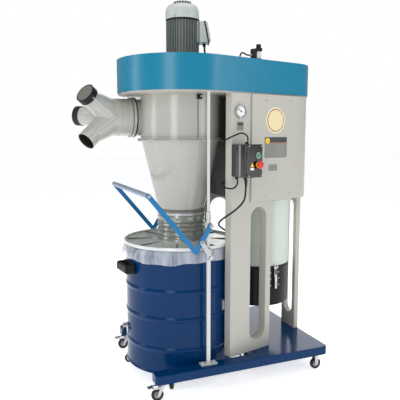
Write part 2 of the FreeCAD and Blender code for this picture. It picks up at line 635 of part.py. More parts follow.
def lever_links():
    """Short links from the lever down to the lid's pins."""
    y0, y1 = -ARM_Y - 13, -ARM_Y - 6
    upper, lower = LINK_UPPER, LINK_LOWER
    middle = -ARM_Y - 9.5
    bar = flat_bar((upper[0], middle, upper[1]), (lower[0], middle, lower[1]), 22, y1 - y0)
    tip = rod(14, (lower[0], y0, lower[1]), (lower[0], y1, lower[1]))
    bar = fuse([bar, tip])
    bar = bar.cut(rod(5.05, (upper[0], y0 - 5, upper[1]), (upper[0], y1 + 5, upper[1])))
    bar = bar.cut(rod(9.0, (lower[0], y0 - 5, lower[1]), (lower[0], y1 + 5, lower[1])))
    return group([bar, mirror_y(bar)])


# ---------------------------------------------------------------- filter

def filter_cartridge():
    """Pleated filter with a ring at each end."""
    core = FILTER_R - 30
    body = ring(FILTER_R - 1.5, core, FILTER_BOTTOM + 12, ENCLOSURE_BOTTOM - 14, OUTLET_X)
    low = ring(FILTER_R, core, FILTER_BOTTOM, FILTER_BOTTOM + 12, OUTLET_X)
    high = ring(FILTER_R, core, ENCLOSURE_BOTTOM - 14, ENCLOSURE_BOTTOM, OUTLET_X)
    return fuse([body, low, high])


def filter_pan():
    """Dust pan under the filter."""
    z1 = FILTER_BOTTOM - GAP
    outer = Part.makeCylinder(FILTER_R, z1 - PAN_BOTTOM, V(OUTLET_X, 0, PAN_BOTTOM))
    hollow = Part.makeCylinder(FILTER_R - SHEET, z1, V(OUTLET_X, 0, PAN_BOTTOM + SHEET))
    return outer.cut(hollow)


def latch_brackets():
    """Hinge brackets of the two pan latches, on the filter's lower ring."""
    parts = []
    for angle in LATCH_ANGLES.values():
        bracket = box(FILTER_R - 2, FILTER_R + 14, -14, 14, 572.5, 588)
        bracket = bracket.cut(Part.makeCylinder(FILTER_R, 100, V(0, 0, 540)))
        bracket = bracket.cut(box(FILTER_R + 2.5, FILTER_R + 20, -9, 9, 560, 600))
        x, z = FILTER_R + LATCH_PIVOT_OUT, LATCH_PIVOT_Z
        pin = rod(3, (x, -12, z), (x, 12, z))
        part = spin(fuse([bracket, pin]), angle)
        part.translate(V(OUTLET_X, 0, 0))
        parts.append(part)
    return group(parts)


def pan_latch(angle):
    """Toggle lever that hangs from its bracket beside the pan."""
    x, z = FILTER_R + LATCH_PIVOT_OUT, LATCH_PIVOT_Z
    eye = rod(5.5, (x, -8.5, z), (x, 8.5, z))
    strap = box(x - 2, x + 4, -8.5, 8.5, 452, 578)
    knob = box(x - 2, x + 12, -8.5, 8.5, 452, 472)
    latch = fuse([eye, strap, knob]).cut(rod(3.06, (x, -20, z), (x, 20, z)))
    latch = spin(latch, angle)
    latch.translate(V(OUTLET_X, 0, 0))
    return latch


# ---------------------------------------------------------------- controls

def control_box():
    """Deep switch box on the front column, with glands below and above."""
    x0, x1 = SWITCH_LEFT, SWITCH_LEFT + SWITCH_WIDTH
    z0, z1, depth = SWITCH_BOTTOM, SWITCH_TOP, SWITCH_DEPTH
    bow = V(x0 - SWITCH_BOW, -depth / 2, z0)
    edges = [
        Part.LineSegment(V(x0, 0, z0), V(x1, 0, z0)).toShape(),
        Part.LineSegment(V(x1, 0, z0), V(x1, -depth, z0)).toShape(),
        Part.LineSegment(V(x1, -depth, z0), V(x0 + 2, -depth, z0)).toShape(),
        Part.Arc(V(x0 + 2, -depth, z0), bow, V(x0, 0, z0)).toShape(),
    ]
    case = Part.Face(Part.Wire(edges)).extrude(V(0, 0, z1 - z0))
    case = case.makeFillet(5, [e for e in case.Edges if e.BoundBox.ZLength < 0.1
                               and e.BoundBox.ZMin > z1 - 1])
    glands = []
    for x, y, radius, start, end in GLANDS.values():
        glands.append(rod(radius, (x0 + x, -y, start), (x0 + x, -y, end)))
    holes = []
    for x, z, r in BUTTONS.values():
        holes.append(rod(r, (x0 + x, -depth - 5, z), (x0 + x, -depth + 14, z)))
    return on_front(fuse([case] + glands).cut(group(holes)))


def start_button():
    """Green push button in its well."""
    x, z, r = BUTTONS["start"]
    x += SWITCH_LEFT
    stem = rod(r - 0.5, (x, -SWITCH_DEPTH + 6, z), (x, -SWITCH_DEPTH - 12, z))
    return on_front(stem)


def stop_button():
    """Red mushroom button."""
    x, z, r = BUTTONS["stop"]
    x += SWITCH_LEFT
    stem = rod(r - 0.5, (x, -SWITCH_DEPTH + 6, z), (x, -SWITCH_DEPTH - 14, z))
    head = rod(20, (x, -SWITCH_DEPTH - 12, z), (x, -SWITCH_DEPTH - 20, z))
    dome = rod(16, (x, -SWITCH_DEPTH - 20, z), (x, -SWITCH_DEPTH - 25, z))
    return on_front(fuse([stem, head, dome]))


def gauge_body():
    """Pressure gauge: case with a dial floor and bezel."""
    case = rod(GAUGE_R, (GAUGE_X, 0, GAUGE_Z), (GAUGE_X, -GAUGE_DEPTH, GAUGE_Z))
    well = rod(GAUGE_R - 4, (GAUGE_X, -10, GAUGE_Z), (GAUGE_X, -20, GAUGE_Z))
    post = rod(2, (GAUGE_X, -8, GAUGE_Z), (GAUGE_X, -13, GAUGE_Z))
    screws = [rod(3, (GAUGE_X, 0, GAUGE_Z + z), (GAUGE_X, -3, GAUGE_Z + z)) for z in (-42, 42)]
    return on_front(group([fuse([case.cut(well), post])] + screws))


def gauge_needle():
    """Needle on the gauge's centre post."""
    hub = rod(4, (GAUGE_X, -11, GAUGE_Z), (GAUGE_X, -13, GAUGE_Z))
    hand = box(GAUGE_X - 1, GAUGE_X + 1, -13, -11, GAUGE_Z - 7, GAUGE_Z + 25)
    needle = fuse([hub, hand]).cut(rod(2.05, (GAUGE_X, -5, GAUGE_Z), (GAUGE_X, -15, GAUGE_Z)))
    needle.rotate(V(GAUGE_X, 0, GAUGE_Z), V(0, 1, 0), -60)
    return on_front(needle)


def front_plates():
    """Blank plates and badge on the front faces."""
    label = box(COLUMN_LEFT + 34, COLUMN_LEFT + 78, -1.5, 0, 1362, 1406)
    proud = -PANEL_PROUD
    badge = rod(BADGE_R, (BADGE_X, proud, BADGE_Z), (BADGE_X, proud - 3, BADGE_Z))
    plate = box(302, 470, proud - 1.5, proud, 1215, 1327)
    return on_front(group([label, badge, plate]))


def air_regulator():
    """Compressed-air filter and regulator on the housing, for cleaning the filter."""
    x, y, z = REGULATOR_X, REGULATOR_Y, HOUSING_TOP
    foot = box(x - 24, x + 36, y - 18, y + 18, z, z + 8)
    body = box(x - 20, x + 6, y - 14, y + 14, z + 8, z + 58)
    bowl = rod(15, (x + 22, y, z + 8), (x + 22, y, z + 50))
    head = box(x + 5, x + 38, y - 15, y + 15, z + 46, z + 64)
    elbow = rod(5, (x - 34, y, z + 24), (x - 19, y, z + 24))
    return fuse([foot, body, bowl, head, elbow])


def regulator_knob():
    """Turning knob on top of the regulator."""
    x, y, z = KNOB_X, REGULATOR_Y, KNOB_BOTTOM
    top = z + KNOB_HEIGHT
    knob = rod(KNOB_R, (x, y, z), (x, y, top))
    for index in range(12):
        groove = rod(1.6, (x + KNOB_R + 0.4, y, z - 1), (x + KNOB_R + 0.4, y, top + 1))
        knob = knob.cut(spin(groove, 30 * index, x, y))
    return knob


def fixed_cables():
    """Leads held at both ends: motor lead, two control leads and the air hose."""
    motor_lead = [(123.3, -45, 1815.5), (123.3, -45, 1790), (132, -54, 1762), (132, -54, 1735.5)]
    upper_lead = [(220.4, -380.3, 1308.2), (220.4, -380.3, 1332), (186, -387, 1352), (142, -366, 1332),
                  (122, -318, 1312), (132, -266, 1302), (176, -232, 1298), (216, -222, 1297),
                  (254.4, -222, 1297)]
    lower_lead = [(182.5, -343.3, 1109.8), (182.5, -343.3, 1084), (154, -357, 1064), (124, -340, 1066),
                  (114, -300, 1076), (128, -258, 1084), (172, -230, 1088), (214, -222, 1090),
                  (254.4, -222, 1091)]
    air_hose = [(306, -222, 1759), (290, -222, 1759), (274, -223, 1769), (257, -225, 1768),
                (250, -225, 1753), (250, -225, 1735.5)]
    return group([tube_along(motor_lead, 5.0), tube_along(upper_lead, 4.0),
                  tube_along(lower_lead, 4.0), tube_along(air_hose, 4.0)])


# ---------------------------------------------------------------- mains cord

def mains_cord():
    """The cord's run from the gland to the coil, and its tail from the coil to the plug."""
    return group([tube_along(CORD_ROUTE, CORD_R), tube_along(CORD_TAIL, CORD_R)])


def mains_coil():
    """Outer shape of the stored length, coiled on the floor under the base."""
    height = 2 * CORD_R * COIL_TURNS
    return ring(COIL_R + CORD_R, COIL_R - CORD_R, 0.3, height + 0.3, COIL_X, COIL_Y)


def mains_plug():
    """Moulded three-pin plug lying beside the coil."""
    x, y, z = CORD_TAIL[-1]
    body = rod(PLUG_R - 0.5, (x, y, z), (x + 38, y, z))
    pins = [rod(3, (x + 37, y + dy, z + dz), (x + 56, y + dy, z + dz))
            for dy, dz in ((-8, -5), (8, -5), (0, 8))]
    return fuse([body] + pins)


# ---------------------------------------------------------------- casters

def caster_fork(x, y, size, heading):
    """A caster's fork: top plate, two cheeks and the axle."""
    radius, width, trail, top = size
    inner, outer = width / 2 + 1.5, width / 2 + 4.0
    plate = Part.makeCylinder(outer + 6, 4, V(x, y, top - 10))
    stem = Part.makeCylinder(outer, 7, V(x, y, top - 7))
    cheeks = []
    for side in (-1, 1):
        y0, y1 = sorted((y + side * inner, y + side * outer))
        corners = [V(x - 12, y0, top - 7), V(x + 12, y0, top - 7),
                   V(x + trail + 8, y0, radius - 6), V(x + trail - 8, y0, radius - 6)]
        face = Part.Face(Part.makePolygon(corners + corners[:1]))
        cheeks.append(face.extrude(V(0, y1 - y0, 0)))
    axle = rod(4, (x + trail, y - outer - 2, radius), (x + trail, y + outer + 2, radius))
    return spin(fuse([plate, stem, axle] + cheeks), heading, x, y)


def caster_wheel(x, y, size, heading):
    """A caster's wheel with its rounded tread, bored for the axle."""
    radius, width, trail, _ = size
    half = width / 2
    wheel = rod(radius, (x + trail, y - half, radius), (x + trail, y + half, radius))
    wheel = wheel.makeFillet(4, [e for e in wheel.Edges if len(e.Vertexes) == 1])
    bore = rod(4.06, (x + trail, y - half - 1, radius), (x + trail, y + half + 1, radius))
    return spin(wheel.cut(bore), heading, x, y)


def pedal_pin(x, y, radius):
    """The brake pedal's hinge pin, across the fork's cheeks."""
    x -= PEDAL_PIN_BACK
    return rod(radius, (x, y - 19.5, PEDAL_PIN_Z), (x, y + 19.5, PEDAL_PIN_Z))


def brake_pedal(x, y, size, heading):
    """Foot pedal hinged in the cheeks of a base caster."""
    _, _, trail, top = size
    pedal = box(x + trail + 26, x + trail + 52, y - 14, y + 14, top - 22, top - 16)
    arms = [box(x + 12, x + trail + 27, y + side * 18 - 1.5, y + side * 18 + 1.5, top - 25, top - 16)
            for side in (-1, 1)]
    cross = box(x + trail + 24, x + trail + 30, y - 19.5, y + 19.5, top - 22, top - 16)
    return fuse([spin(fuse([pedal, cross] + arms), heading, x, y), pedal_pin(x, y, 3.0)])


def build_casters(nodes):
    """All casters: two braked swivels and two fixed on the base, four swivels on the drum."""
    for name, (x, y) in BASE_SWIVELS.items():
        fork = caster_fork(x, y, BASE_WHEEL, 180)
        nodes["base_caster_fork_" + name] = fork.cut(pedal_pin(x, y, 3.06))
        nodes["base_caster_wheel_" + name] = caster_wheel(x, y, BASE_WHEEL, 180)
        nodes["brake_pedal_" + name] = brake_pedal(x, y, BASE_WHEEL, 180)
    rigid = []
    for name, (x, y) in BASE_RIGIDS.items():
        rigid.append(caster_fork(x, y, RIGID_WHEEL, 0))
        nodes["base_caster_wheel_" + name] = caster_wheel(x, y, RIGID_WHEEL, 0)
    nodes["fixed_caster_forks"] = group(rigid)
    for name, angle in DRUM_CASTERS.items():
        x = DRUM_X + DRUM_CASTER_RING * math.cos(math.radians(angle))
        y = DRUM_CASTER_RING * math.sin(math.radians(angle))
        nodes["drum_caster_fork_" + name] = caster_fork(x, y, DRUM_WHEEL, angle)
        nodes["drum_caster_wheel_" + name] = caster_wheel(x, y, DRUM_WHEEL, angle)


def build():
    """Every node, by name."""
    nodes = {
        "base_frame": base_frame(),
        "side_columns": side_columns(),
        "right_leg": right_leg(),
        "filter_enclosure": filter_enclosure(),
        "fan_housing": fan_housing(),
        "housing_top_plate": housing_top_plate(),
        "housing_bottom_plate": housing_bottom_plate(),
        "impeller": impeller(),
        "motor_shaft": motor_shaft(),
        "motor_body": motor_body(),
        "motor_fan_cowl": motor_fan_cowl(),
        "junction_box": junction_box(),
        "cyclone_barrel": cyclone_barrel(),
        "cyclone_cone": cyclone_cone(),
        "machine_bolts": machine_bolts(),
        "inlet_wye": inlet_wye(),
        "port_cap_upper": port_cap("upper"),
        "port_cap_rear": port_cap("rear"),
        "drum_shell": drum_shell(),
        "bag_skirt": bag_skirt(),
        "drum_handles": drum_handles(),
        "drum_lid": drum_lid(),
        "flex_hose": flex_hose(),
        "guide_posts": guide_posts(),
        "lift_lever": lift_lever(),
        "lever_links": lever_links(),
        "filter_cartridge": filter_cartridge(),
        "filter_pan": filter_pan(),
        "latch_brackets": latch_brackets(),
        "pan_latch_front": pan_latch(LATCH_ANGLES["front"]),
        "pan_latch_rear": pan_latch(LATCH_ANGLES["rear"]),
        "control_box": control_box(),
        "start_button": start_button(),
        "stop_button": stop_button(),
        "gauge_body": gauge_body(),
        "gauge_needle": gauge_needle(),
        "front_plates": front_plates(),
        "air_regulator": air_regulator(),
        "regulator_knob": regulator_knob(),
        "fixed_cables": fixed_cables(),
        "mains_cord": mains_cord(),
        "mains_coil": mains_coil(),
        "mains_plug": mains_plug(),
    }
    build_casters(nodes)
    return nodes


def main():
    """Shift each node to the row's origin and write it."""
    os.makedirs("parts", exist_ok=True)
    for name, shape in build().items():
        placed = shape.copy()
        placed.translate(-PLAN_CENTRE)
        if not placed.isValid():
            print("invalid shape:", name)
        placed.exportStep("parts/%s.step" % name)
    print("nodes written:", len(os.listdir("parts")))


main()
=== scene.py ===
import json
import math

import bmesh
import bpy
from mathutils import Matrix, Vector

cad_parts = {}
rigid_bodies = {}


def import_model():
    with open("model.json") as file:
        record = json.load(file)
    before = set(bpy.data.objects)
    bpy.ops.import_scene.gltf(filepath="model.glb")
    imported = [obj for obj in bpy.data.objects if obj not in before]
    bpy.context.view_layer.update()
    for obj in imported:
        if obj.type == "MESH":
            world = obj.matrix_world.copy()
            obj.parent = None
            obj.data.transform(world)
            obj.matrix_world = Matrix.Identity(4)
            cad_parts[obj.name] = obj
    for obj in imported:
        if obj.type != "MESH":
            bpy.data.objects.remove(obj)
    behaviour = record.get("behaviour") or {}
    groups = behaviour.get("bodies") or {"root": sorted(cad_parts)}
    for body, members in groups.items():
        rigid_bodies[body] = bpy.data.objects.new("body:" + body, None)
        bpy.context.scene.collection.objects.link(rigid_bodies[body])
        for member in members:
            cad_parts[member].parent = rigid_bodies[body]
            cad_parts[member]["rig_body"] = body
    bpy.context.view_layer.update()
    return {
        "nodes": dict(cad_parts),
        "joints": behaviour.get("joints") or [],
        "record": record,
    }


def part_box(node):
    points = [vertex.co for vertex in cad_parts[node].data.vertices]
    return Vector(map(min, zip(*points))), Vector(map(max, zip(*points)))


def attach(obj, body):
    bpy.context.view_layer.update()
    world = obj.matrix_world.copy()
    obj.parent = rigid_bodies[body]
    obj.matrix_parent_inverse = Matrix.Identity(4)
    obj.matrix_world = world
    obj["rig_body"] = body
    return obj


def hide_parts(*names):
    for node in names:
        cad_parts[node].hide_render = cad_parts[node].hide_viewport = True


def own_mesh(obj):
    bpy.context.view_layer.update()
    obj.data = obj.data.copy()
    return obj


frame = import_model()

# The looks of a mobile cyclone dust collector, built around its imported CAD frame.
# Metres, +Z up, the floor at z = 0, the front with the switch box facing -Y.

RIGHT, BACK, UP = Vector((1, 0, 0)), Vector((0, 1, 0)), Vector((0, 0, 1))
NODES = frame["nodes"]
JOINTS = {joint["name"]: joint for joint in frame["joints"]}

# Directions of the front face, from the start button's travel
FACE_OUT = -Vector(JOINTS["start_press"]["axis"])
FACE_ALONG = UP.cross(FACE_OUT)


# ---------------------------------------------------------------- reading the frame

def middle(node):
    """Centre of a CAD node's box."""
    low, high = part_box(node)
    return (low + high) / 2


def span(node, direction):
    """Lowest and highest reach of a CAD node along a direction."""
    reach = [vertex.co.dot(direction) for vertex in NODES[node].data.vertices]
    return min(reach), max(reach)


def flat_of(point):
    """The same point on the floor."""
    return Vector((point.x, point.y, 0))


def heading(degrees):
    """The level direction at an angle from +X."""
    angle = math.radians(degrees)
    return Vector((math.cos(angle), math.sin(angle), 0))


CYCLONE = flat_of(middle("cyclone_cone"))
DRUM = flat_of(middle("drum_shell"))
FILTER = flat_of(middle("filter_cartridge"))
MOTOR = flat_of(middle("motor_shaft"))


# ---------------------------------------------------------------- materials

def linear(code):
    """A colour like 0a3c66 as linear values."""
    values = [int(code[i:i + 2], 16) / 255 for i in (0, 2, 4)]
    return [v / 12.92 if v <= 0.04045 else ((v + 0.055) / 1.055) ** 2.4 for v in values]


BUMP_DEPTH = 0.001
PATCH = 5.0                        # usual scale of the two tones, per metre


class Look:
    """A node material: two near tones, a changing roughness and a fine bump."""

    def __init__(self, slot, name, light, dark, rough, grain, bump, extra):
        self.slot = slot
        patch = extra.get("patch", PATCH)
        self.material = bpy.data.materials.new(name)
        self.material.use_nodes = True
        self.nodes = self.material.node_tree.nodes
        self.links = self.material.node_tree.links
        self.shader = self.nodes["Principled BSDF"]
        self.place = self.nodes.new("ShaderNodeTexCoord").outputs["Object"]
        mix = self.nodes.new("ShaderNodeMix")
        mix.data_type = "RGBA"
        mix.inputs[6].default_value = (*linear(dark), 1)
        mix.inputs[7].default_value = (*linear(light), 1)
        self.links.new(self.ramp(self.noise(patch, 4), 0.35, 0.65), mix.inputs[0])
        self.links.new(mix.outputs[2], self.shader.inputs["Base Color"])
        self.links.new(self.ramp(self.noise(patch * 7, 3), *rough), self.shader.inputs["Roughness"])
        raised = self.nodes.new("ShaderNodeBump")
        raised.inputs["Strength"].default_value = bump
        raised.inputs["Distance"].default_value = BUMP_DEPTH
        self.links.new(self.noise(grain, 2), raised.inputs["Height"])
        self.links.new(raised.outputs["Normal"], self.shader.inputs["Normal"])
        for key in [key for key in extra if key != "patch"]:
            self.shader.inputs[key].default_value = extra[key]

    def noise(self, scale, detail, stretch=None):
        """A noise value from the object's own coordinates."""
        texture = self.nodes.new("ShaderNodeTexNoise")
        texture.inputs["Scale"].default_value = scale
        texture.inputs["Detail"].default_value = detail
        place = self.place
        if stretch:
            mapping = self.nodes.new("ShaderNodeMapping")
            mapping.inputs["Scale"].default_value = stretch
            self.links.new(place, mapping.inputs["Vector"])
            place = mapping.outputs["Vector"]
        self.links.new(place, texture.inputs["Vector"])
        return texture.outputs["Fac"]

    def ramp(self, value, low, high):
        """The value's middle part spread over low to high."""
        node = self.nodes.new("ShaderNodeMapRange")
        node.inputs["From Min"].default_value = 0.3
        node.inputs["From Max"].default_value = 0.7
        node.inputs["To Min"].default_value = low
        node.inputs["To Max"].default_value = high
        self.links.new(value, node.inputs["Value"])
        return node.outputs["Result"]

    def filmy(self):
        """Thin film: clearer and cloudier streaks that run down its folds."""
        streaks = self.noise(26, 3, (1, 1, 0.12))
        self.links.new(self.ramp(streaks, 0.22, 0.72), self.shader.inputs["Alpha"])


LOOKS = {}
for name, slot, light, dark, rough, grain, bump, extra in (
    ("navy_paint", "navy_paint", "003464", "002c56", (0.14, 0.2), 160, 0.012,
     {"Specular IOR Level": 0.12, "Coat Weight": 0.08, "Coat Roughness": 0.05}),
    ("teal_paint", "teal_paint", "117d9c", "0f7594", (0.24, 0.32), 170, 0.012,
     {"Specular IOR Level": 0.35, "Coat Weight": 0.15, "Coat Roughness": 0.2}),
    ("grey_paint", "grey_paint", "b9b7ae", "b5b3aa", (0.3, 0.42), 220, 0.02, {}),
    # painted shade: the grey paint darkened, for the shaded side wall of the enclosure and the open
    # port's inside
    ("painted_shade_dark", "grey_paint", "2b241f", "221c18", (0.4, 0.55), 220, 0.08, {}),
    ("cyclone_grey", "cyclone_grey", "b0b0a9", "adada6", (0.2, 0.28), 200, 0.015,
     {"Coat Weight": 0.4, "Coat Roughness": 0.12}),
    ("lever_blue", "lever_blue", "1173ad", "0e6aa2", (0.2, 0.28), 260, 0.012,
     {"Specular IOR Level": 0.35, "Coat Weight": 0.2, "Coat Roughness": 0.1}),
    ("motor_grey", "motor_grey", "7a807a", "6b716b", (0.4, 0.52), 400, 0.15, {}),
    ("cowl_grey", "cowl_grey", "bcc1bd", "b5bab6", (0.3, 0.4), 260, 0.02, {}),
    ("steel", "steel", "d0d2d1", "c9cbca", (0.3, 0.4), 300, 0.01, {"Metallic": 0.2}),
    ("zinc", "zinc", "cfcfd0", "a9abae", (0.26, 0.4), 320, 0.12, {"patch": 30, "Metallic": 0.9}),
    ("black_plastic", "black_plastic", "0d0e0f", "090a0b", (0.1, 0.16), 500, 0.02,
     {"Specular IOR Level": 0.5, "Coat Weight": 1.0, "Coat Roughness": 0.08}),
    ("pan_black", "black_plastic", "101112", "0b0c0d", (0.3, 0.4), 400, 0.02,
     {"Specular IOR Level": 0.2}),
    ("black_matte", "black_matte", "161718", "101112", (0.45, 0.6), 500, 0.08,
     {"Specular IOR Level": 0.3}),
    ("rubber", "rubber", "1b1b1b", "121212", (0.6, 0.78), 450, 0.25, {}),
    ("clear_bag", "clear_bag", "e6ebf2", "d3dbe6", (0.12, 0.26), 90, 0.25, {}),
    ("hose", "hose", "a3a59d", "7d807a", (0.12, 0.26), 70, 0.35,
     {"patch": 14, "Metallic": 0.35, "Coat Weight": 0.5, "Coat Roughness": 0.08}),
    ("filter_media", "filter_media", "d3dbd2", "c5cec5", (0.5, 0.7), 500, 0.25, {}),
    ("plate_cream", "plate_cream", "ece4d0", "e2d8c0", (0.3, 0.4), 300, 0.05, {}),
    ("plate_bronze", "plate_cream", "b5602a", "a35423", (0.35, 0.45), 300, 0.05, {}),
    ("plate_grey", "plate_cream", "85867f", "7b7c75", (0.3, 0.42), 300, 0.05, {}),
    ("plate_dark", "plate_cream", "3c3f40", "323536", (0.3, 0.42), 300, 0.05, {}),
    ("plate_yellow", "plate_cream", "e9c92a", "dcb91f", (0.3, 0.4), 300, 0.05, {}),
    ("green_plastic", "green_plastic", "17a05a", "108a4b", (0.15, 0.25), 500, 0.05,
     {"Coat Weight": 0.3}),
    ("red_plastic", "red_plastic", "d92320", "c41a1a", (0.15, 0.25), 500, 0.05,
     {"Coat Weight": 0.3}),
    ("white_dial", "plate_cream", "f4f4f1", "ebebe8", (0.5, 0.6), 300, 0.04, {}),
    ("impeller_steel", "impeller_steel", "8c8c8a", "7b7b79", (0.35, 0.5), 300, 0.1,
     {"Metallic": 0.6}),
    ("plate_pale", "plate_cream", "e9dcb0", "e2d3a2", (0.3, 0.4), 300, 0.05, {}),
    ("lid_green", "cyclone_grey", "b9bdb4", "a9ada4", (0.22, 0.34), 180, 0.07,
     {"Coat Weight": 0.25, "Coat Roughness": 0.15}),
    # a darker copy of the lid's grey: painted shade on the lid's ribs and the barrel's seam, and
    # the cone collar's own darker grey
    ("dark_grey_and_painted_shade", "cyclone_grey", "6d6f66", "5c5e56", (0.3, 0.42), 180, 0.07, {}),
    # near-white: the liner's plastic over the lid rim, and painted highlight along the rim
    ("rim_pale_and_painted_highlight", "cyclone_grey", "dfe2e2", "d6d9da", (0.2, 0.3), 180, 0.05,
     {"Coat Weight": 0.3, "Coat Roughness": 0.1}),
    # painted highlight: a lighter copy of the wye's grey for the beads along its creases
    ("crease_highlight_grey", "cyclone_grey", "c6c6c1", "bababa", (0.18, 0.3), 300, 0.12, {}),
    ("cap_grey", "black_matte", "6f7068", "63645d", (0.4, 0.55), 500, 0.2, {}),
    ("hub_grey", "rubber", "8f9294", "7d8082", (0.3, 0.45), 400, 0.1, {}),
    ("sleeve_grey", "lever_blue", "8b9ab0", "8090a7", (0.3, 0.4), 300, 0.01,
     {"Coat Weight": 0.2, "Coat Roughness": 0.2}),
    ("brass", "black_matte", "c9a85a", "b8964a", (0.2, 0.32), 400, 0.06, {"Metallic": 1.0}),
    ("clear_bowl", "black_matte", "dfe8ea", "cfdadd", (0.05, 0.12), 200, 0.04, {"Alpha": 0.45}),
):
    LOOKS[name] = Look(slot, name, light, dark, rough, grain, bump, extra)
LOOKS["clear_bag"].filmy()

CAD_LOOKS = {
    "grey_paint": ["side_columns", "right_leg", "filter_enclosure", "housing_bottom_plate"],
    "teal_paint": ["fan_housing", "housing_top_plate"],
    "navy_paint": ["base_frame"],
    "impeller_steel": ["impeller"],
    "steel": ["motor_shaft", "guide_posts"],
    "motor_grey": ["motor_body"],
    "cyclone_grey": ["cyclone_barrel", "cyclone_cone", "inlet_wye", "drum_lid"],
    "zinc": ["machine_bolts", "lever_links", "latch_brackets", "fixed_caster_forks"],
    "black_matte": ["port_cap_upper", "port_cap_rear", "fixed_cables", "air_regulator",
                    "regulator_knob", "drum_handles", "mains_plug", "gauge_needle"],
    "lever_blue": ["lift_lever"],
    "black_plastic": ["filter_pan", "control_box"],
    "filter_media": ["filter_cartridge"],
    "plate_cream": ["front_plates"],
    "green_plastic": ["start_button"],
    "red_plastic": ["stop_button"],
    "white_dial": ["gauge_body"],
}


def paint_cad():
    """Gives every shown CAD node its finish."""
    for look, names in CAD_LOOKS.items():
        for name in names:
            paint(NODES[name], look)
    for name, node in NODES.items():
        if "caster_fork" in name or "pedal" in name or name.startswith("pan_latch"):
            paint(node, "zinc")
        if "caster_wheel" in name:
            paint(node, "rubber")


def paint(node, look):
    """Puts one look on all of a CAD node's material slots."""
    material = LOOKS[look].material
    if not node.material_slots:
        node.data.materials.append(material)
    for place in node.material_slots:
        place.material = material


# ---------------------------------------------------------------- mesh helpers

def piece(name, shape, look, body, sharp=35.0):
    """A finished piece from a bmesh: it gets its look and rides on its body."""
    bmesh.ops.recalc_face_normals(shape, faces=shape.faces)
    mesh = bpy.data.meshes.new(name)
    shape.to_mesh(mesh)
    shape.free()
    mesh.shade_smooth()
    mesh.set_sharp_from_angle(angle=math.radians(sharp))
    mesh.materials.append(LOOKS[look].material)
    made = bpy.data.objects.new(name, mesh)
    bpy.context.scene.collection.objects.link(made)
    if body:
        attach(made, body)
    return made


def rounded(points, radius, steps=4, closed=False):
    """A polyline with its corners rounded."""
    corners = [Vector(p) for p in points]
    count = len(corners)
    result = []
    for index, corner in enumerate(corners):
        if not closed and index in (0, count - 1):
            result.append(corner)
            continue
        before, after = corners[index - 1], corners[(index + 1) % count]
        reach = min(radius, 0.45 * (before - corner).length, 0.45 * (after - corner).length)
        start = corner + (before - corner).normalized() * reach
        end = corner + (after - corner).normalized() * reach
        for step in range(steps + 1):
            t = step / steps
            result.append(start * (1 - t) ** 2 + corner * 2 * t * (1 - t) + end * t * t)
    return result


def bridge(shape, columns, closed=False):
    """Faces all the way round, between neighbouring columns of points."""
    for index, column in enumerate(columns):
        following = columns[(index + 1) % len(columns)]
        for row in range(len(column) if closed else len(column) - 1):
            over = (row + 1) % len(column)
            shape.faces.new((column[row], following[row], following[over], column[over]))


def lathe(steps, column_at, closed=False):
    """A mesh of columns around upright axes, each from (centre, radius, height) points."""
    shape = bmesh.new()
    columns = []
    for step in range(steps):
        angle = 2 * math.pi * step / steps
        columns.append([shape.verts.new((centre.x + r * math.cos(angle),
                                         centre.y + r * math.sin(angle), z))
                        for centre, r, z in column_at(angle)])
    bridge(shape, columns, closed)
    return shape


def band(inner, outer, low, high, radius):
    """Profile of a ring with rounded edges."""
    return rounded([(inner, low), (outer, low), (outer, high), (inner, high)], radius,
                   closed=True)


def turned(name, profile, look, body, centre=Vector(), axis=UP, steps=96, closed=True):
    """A piece turned about an axis from (radius, height) points."""
    shape = bmesh.new()
    columns = []
    for step in range(steps):
        angle = 2 * math.pi * step / steps
        columns.append([shape.verts.new((r * math.cos(angle), r * math.sin(angle), h))
                        for r, h in profile])
    bridge(shape, columns, closed)
    bmesh.ops.remove_doubles(shape, verts=shape.verts, dist=1e-6)
    turn = UP.rotation_difference(Vector(axis)).to_matrix().to_4x4()
    shape.transform(Matrix.Translation(centre) @ turn)
    return piece(name, shape, look, body)


def plate(name, outline, depth, look, body, origin, across, upward, bevel=0.0):
    """An outline in the plane of two directions, given a depth towards the viewer's side."""
    out = across.cross(upward).normalized()
    shape = bmesh.new()
    ring = [shape.verts.new(origin + across * p[0] + upward * p[1]) for p in outline]
    face = shape.faces.new(ring)
    grown = bmesh.ops.extrude_face_region(shape, geom=[face])
    lifted = [part for part in grown["geom"] if isinstance(part, bmesh.types.BMVert)]
    bmesh.ops.translate(shape, verts=lifted, vec=out * depth)
    made = piece(name, shape, look, body)
    if bevel:
        soften(made, bevel)
    return made


def facing(name, outline, depth, look, body, place, out, bevel=0.0):
    """A plate that faces a level direction."""
    return plate(name, outline, depth, look, body, place, UP.cross(out), UP, bevel)


def soften(made, width):
    """Rounds a piece's sharp edges."""
    bevel = made.modifiers.new("edges", "BEVEL")
    bevel.width = width
    bevel.segments = 3
    bevel.limit_method = "ANGLE"
    bevel.angle_limit = math.radians(38)
    bevel.harden_normals = True
    return made


def rectangle(width, height, radius=0.0):
    """A rectangle about its middle, with round corners if asked."""
    x, y = width / 2, height / 2
    corners = [(-x, -y), (x, -y), (x, y), (-x, y)]
    return rounded(corners, radius, closed=True) if radius else corners


def circle(radius, steps=48):
    """A circle as an outline."""
    angles = [2 * math.pi * i / steps for i in range(steps)]
    return [(radius * math.cos(a), radius * math.sin(a)) for a in angles]


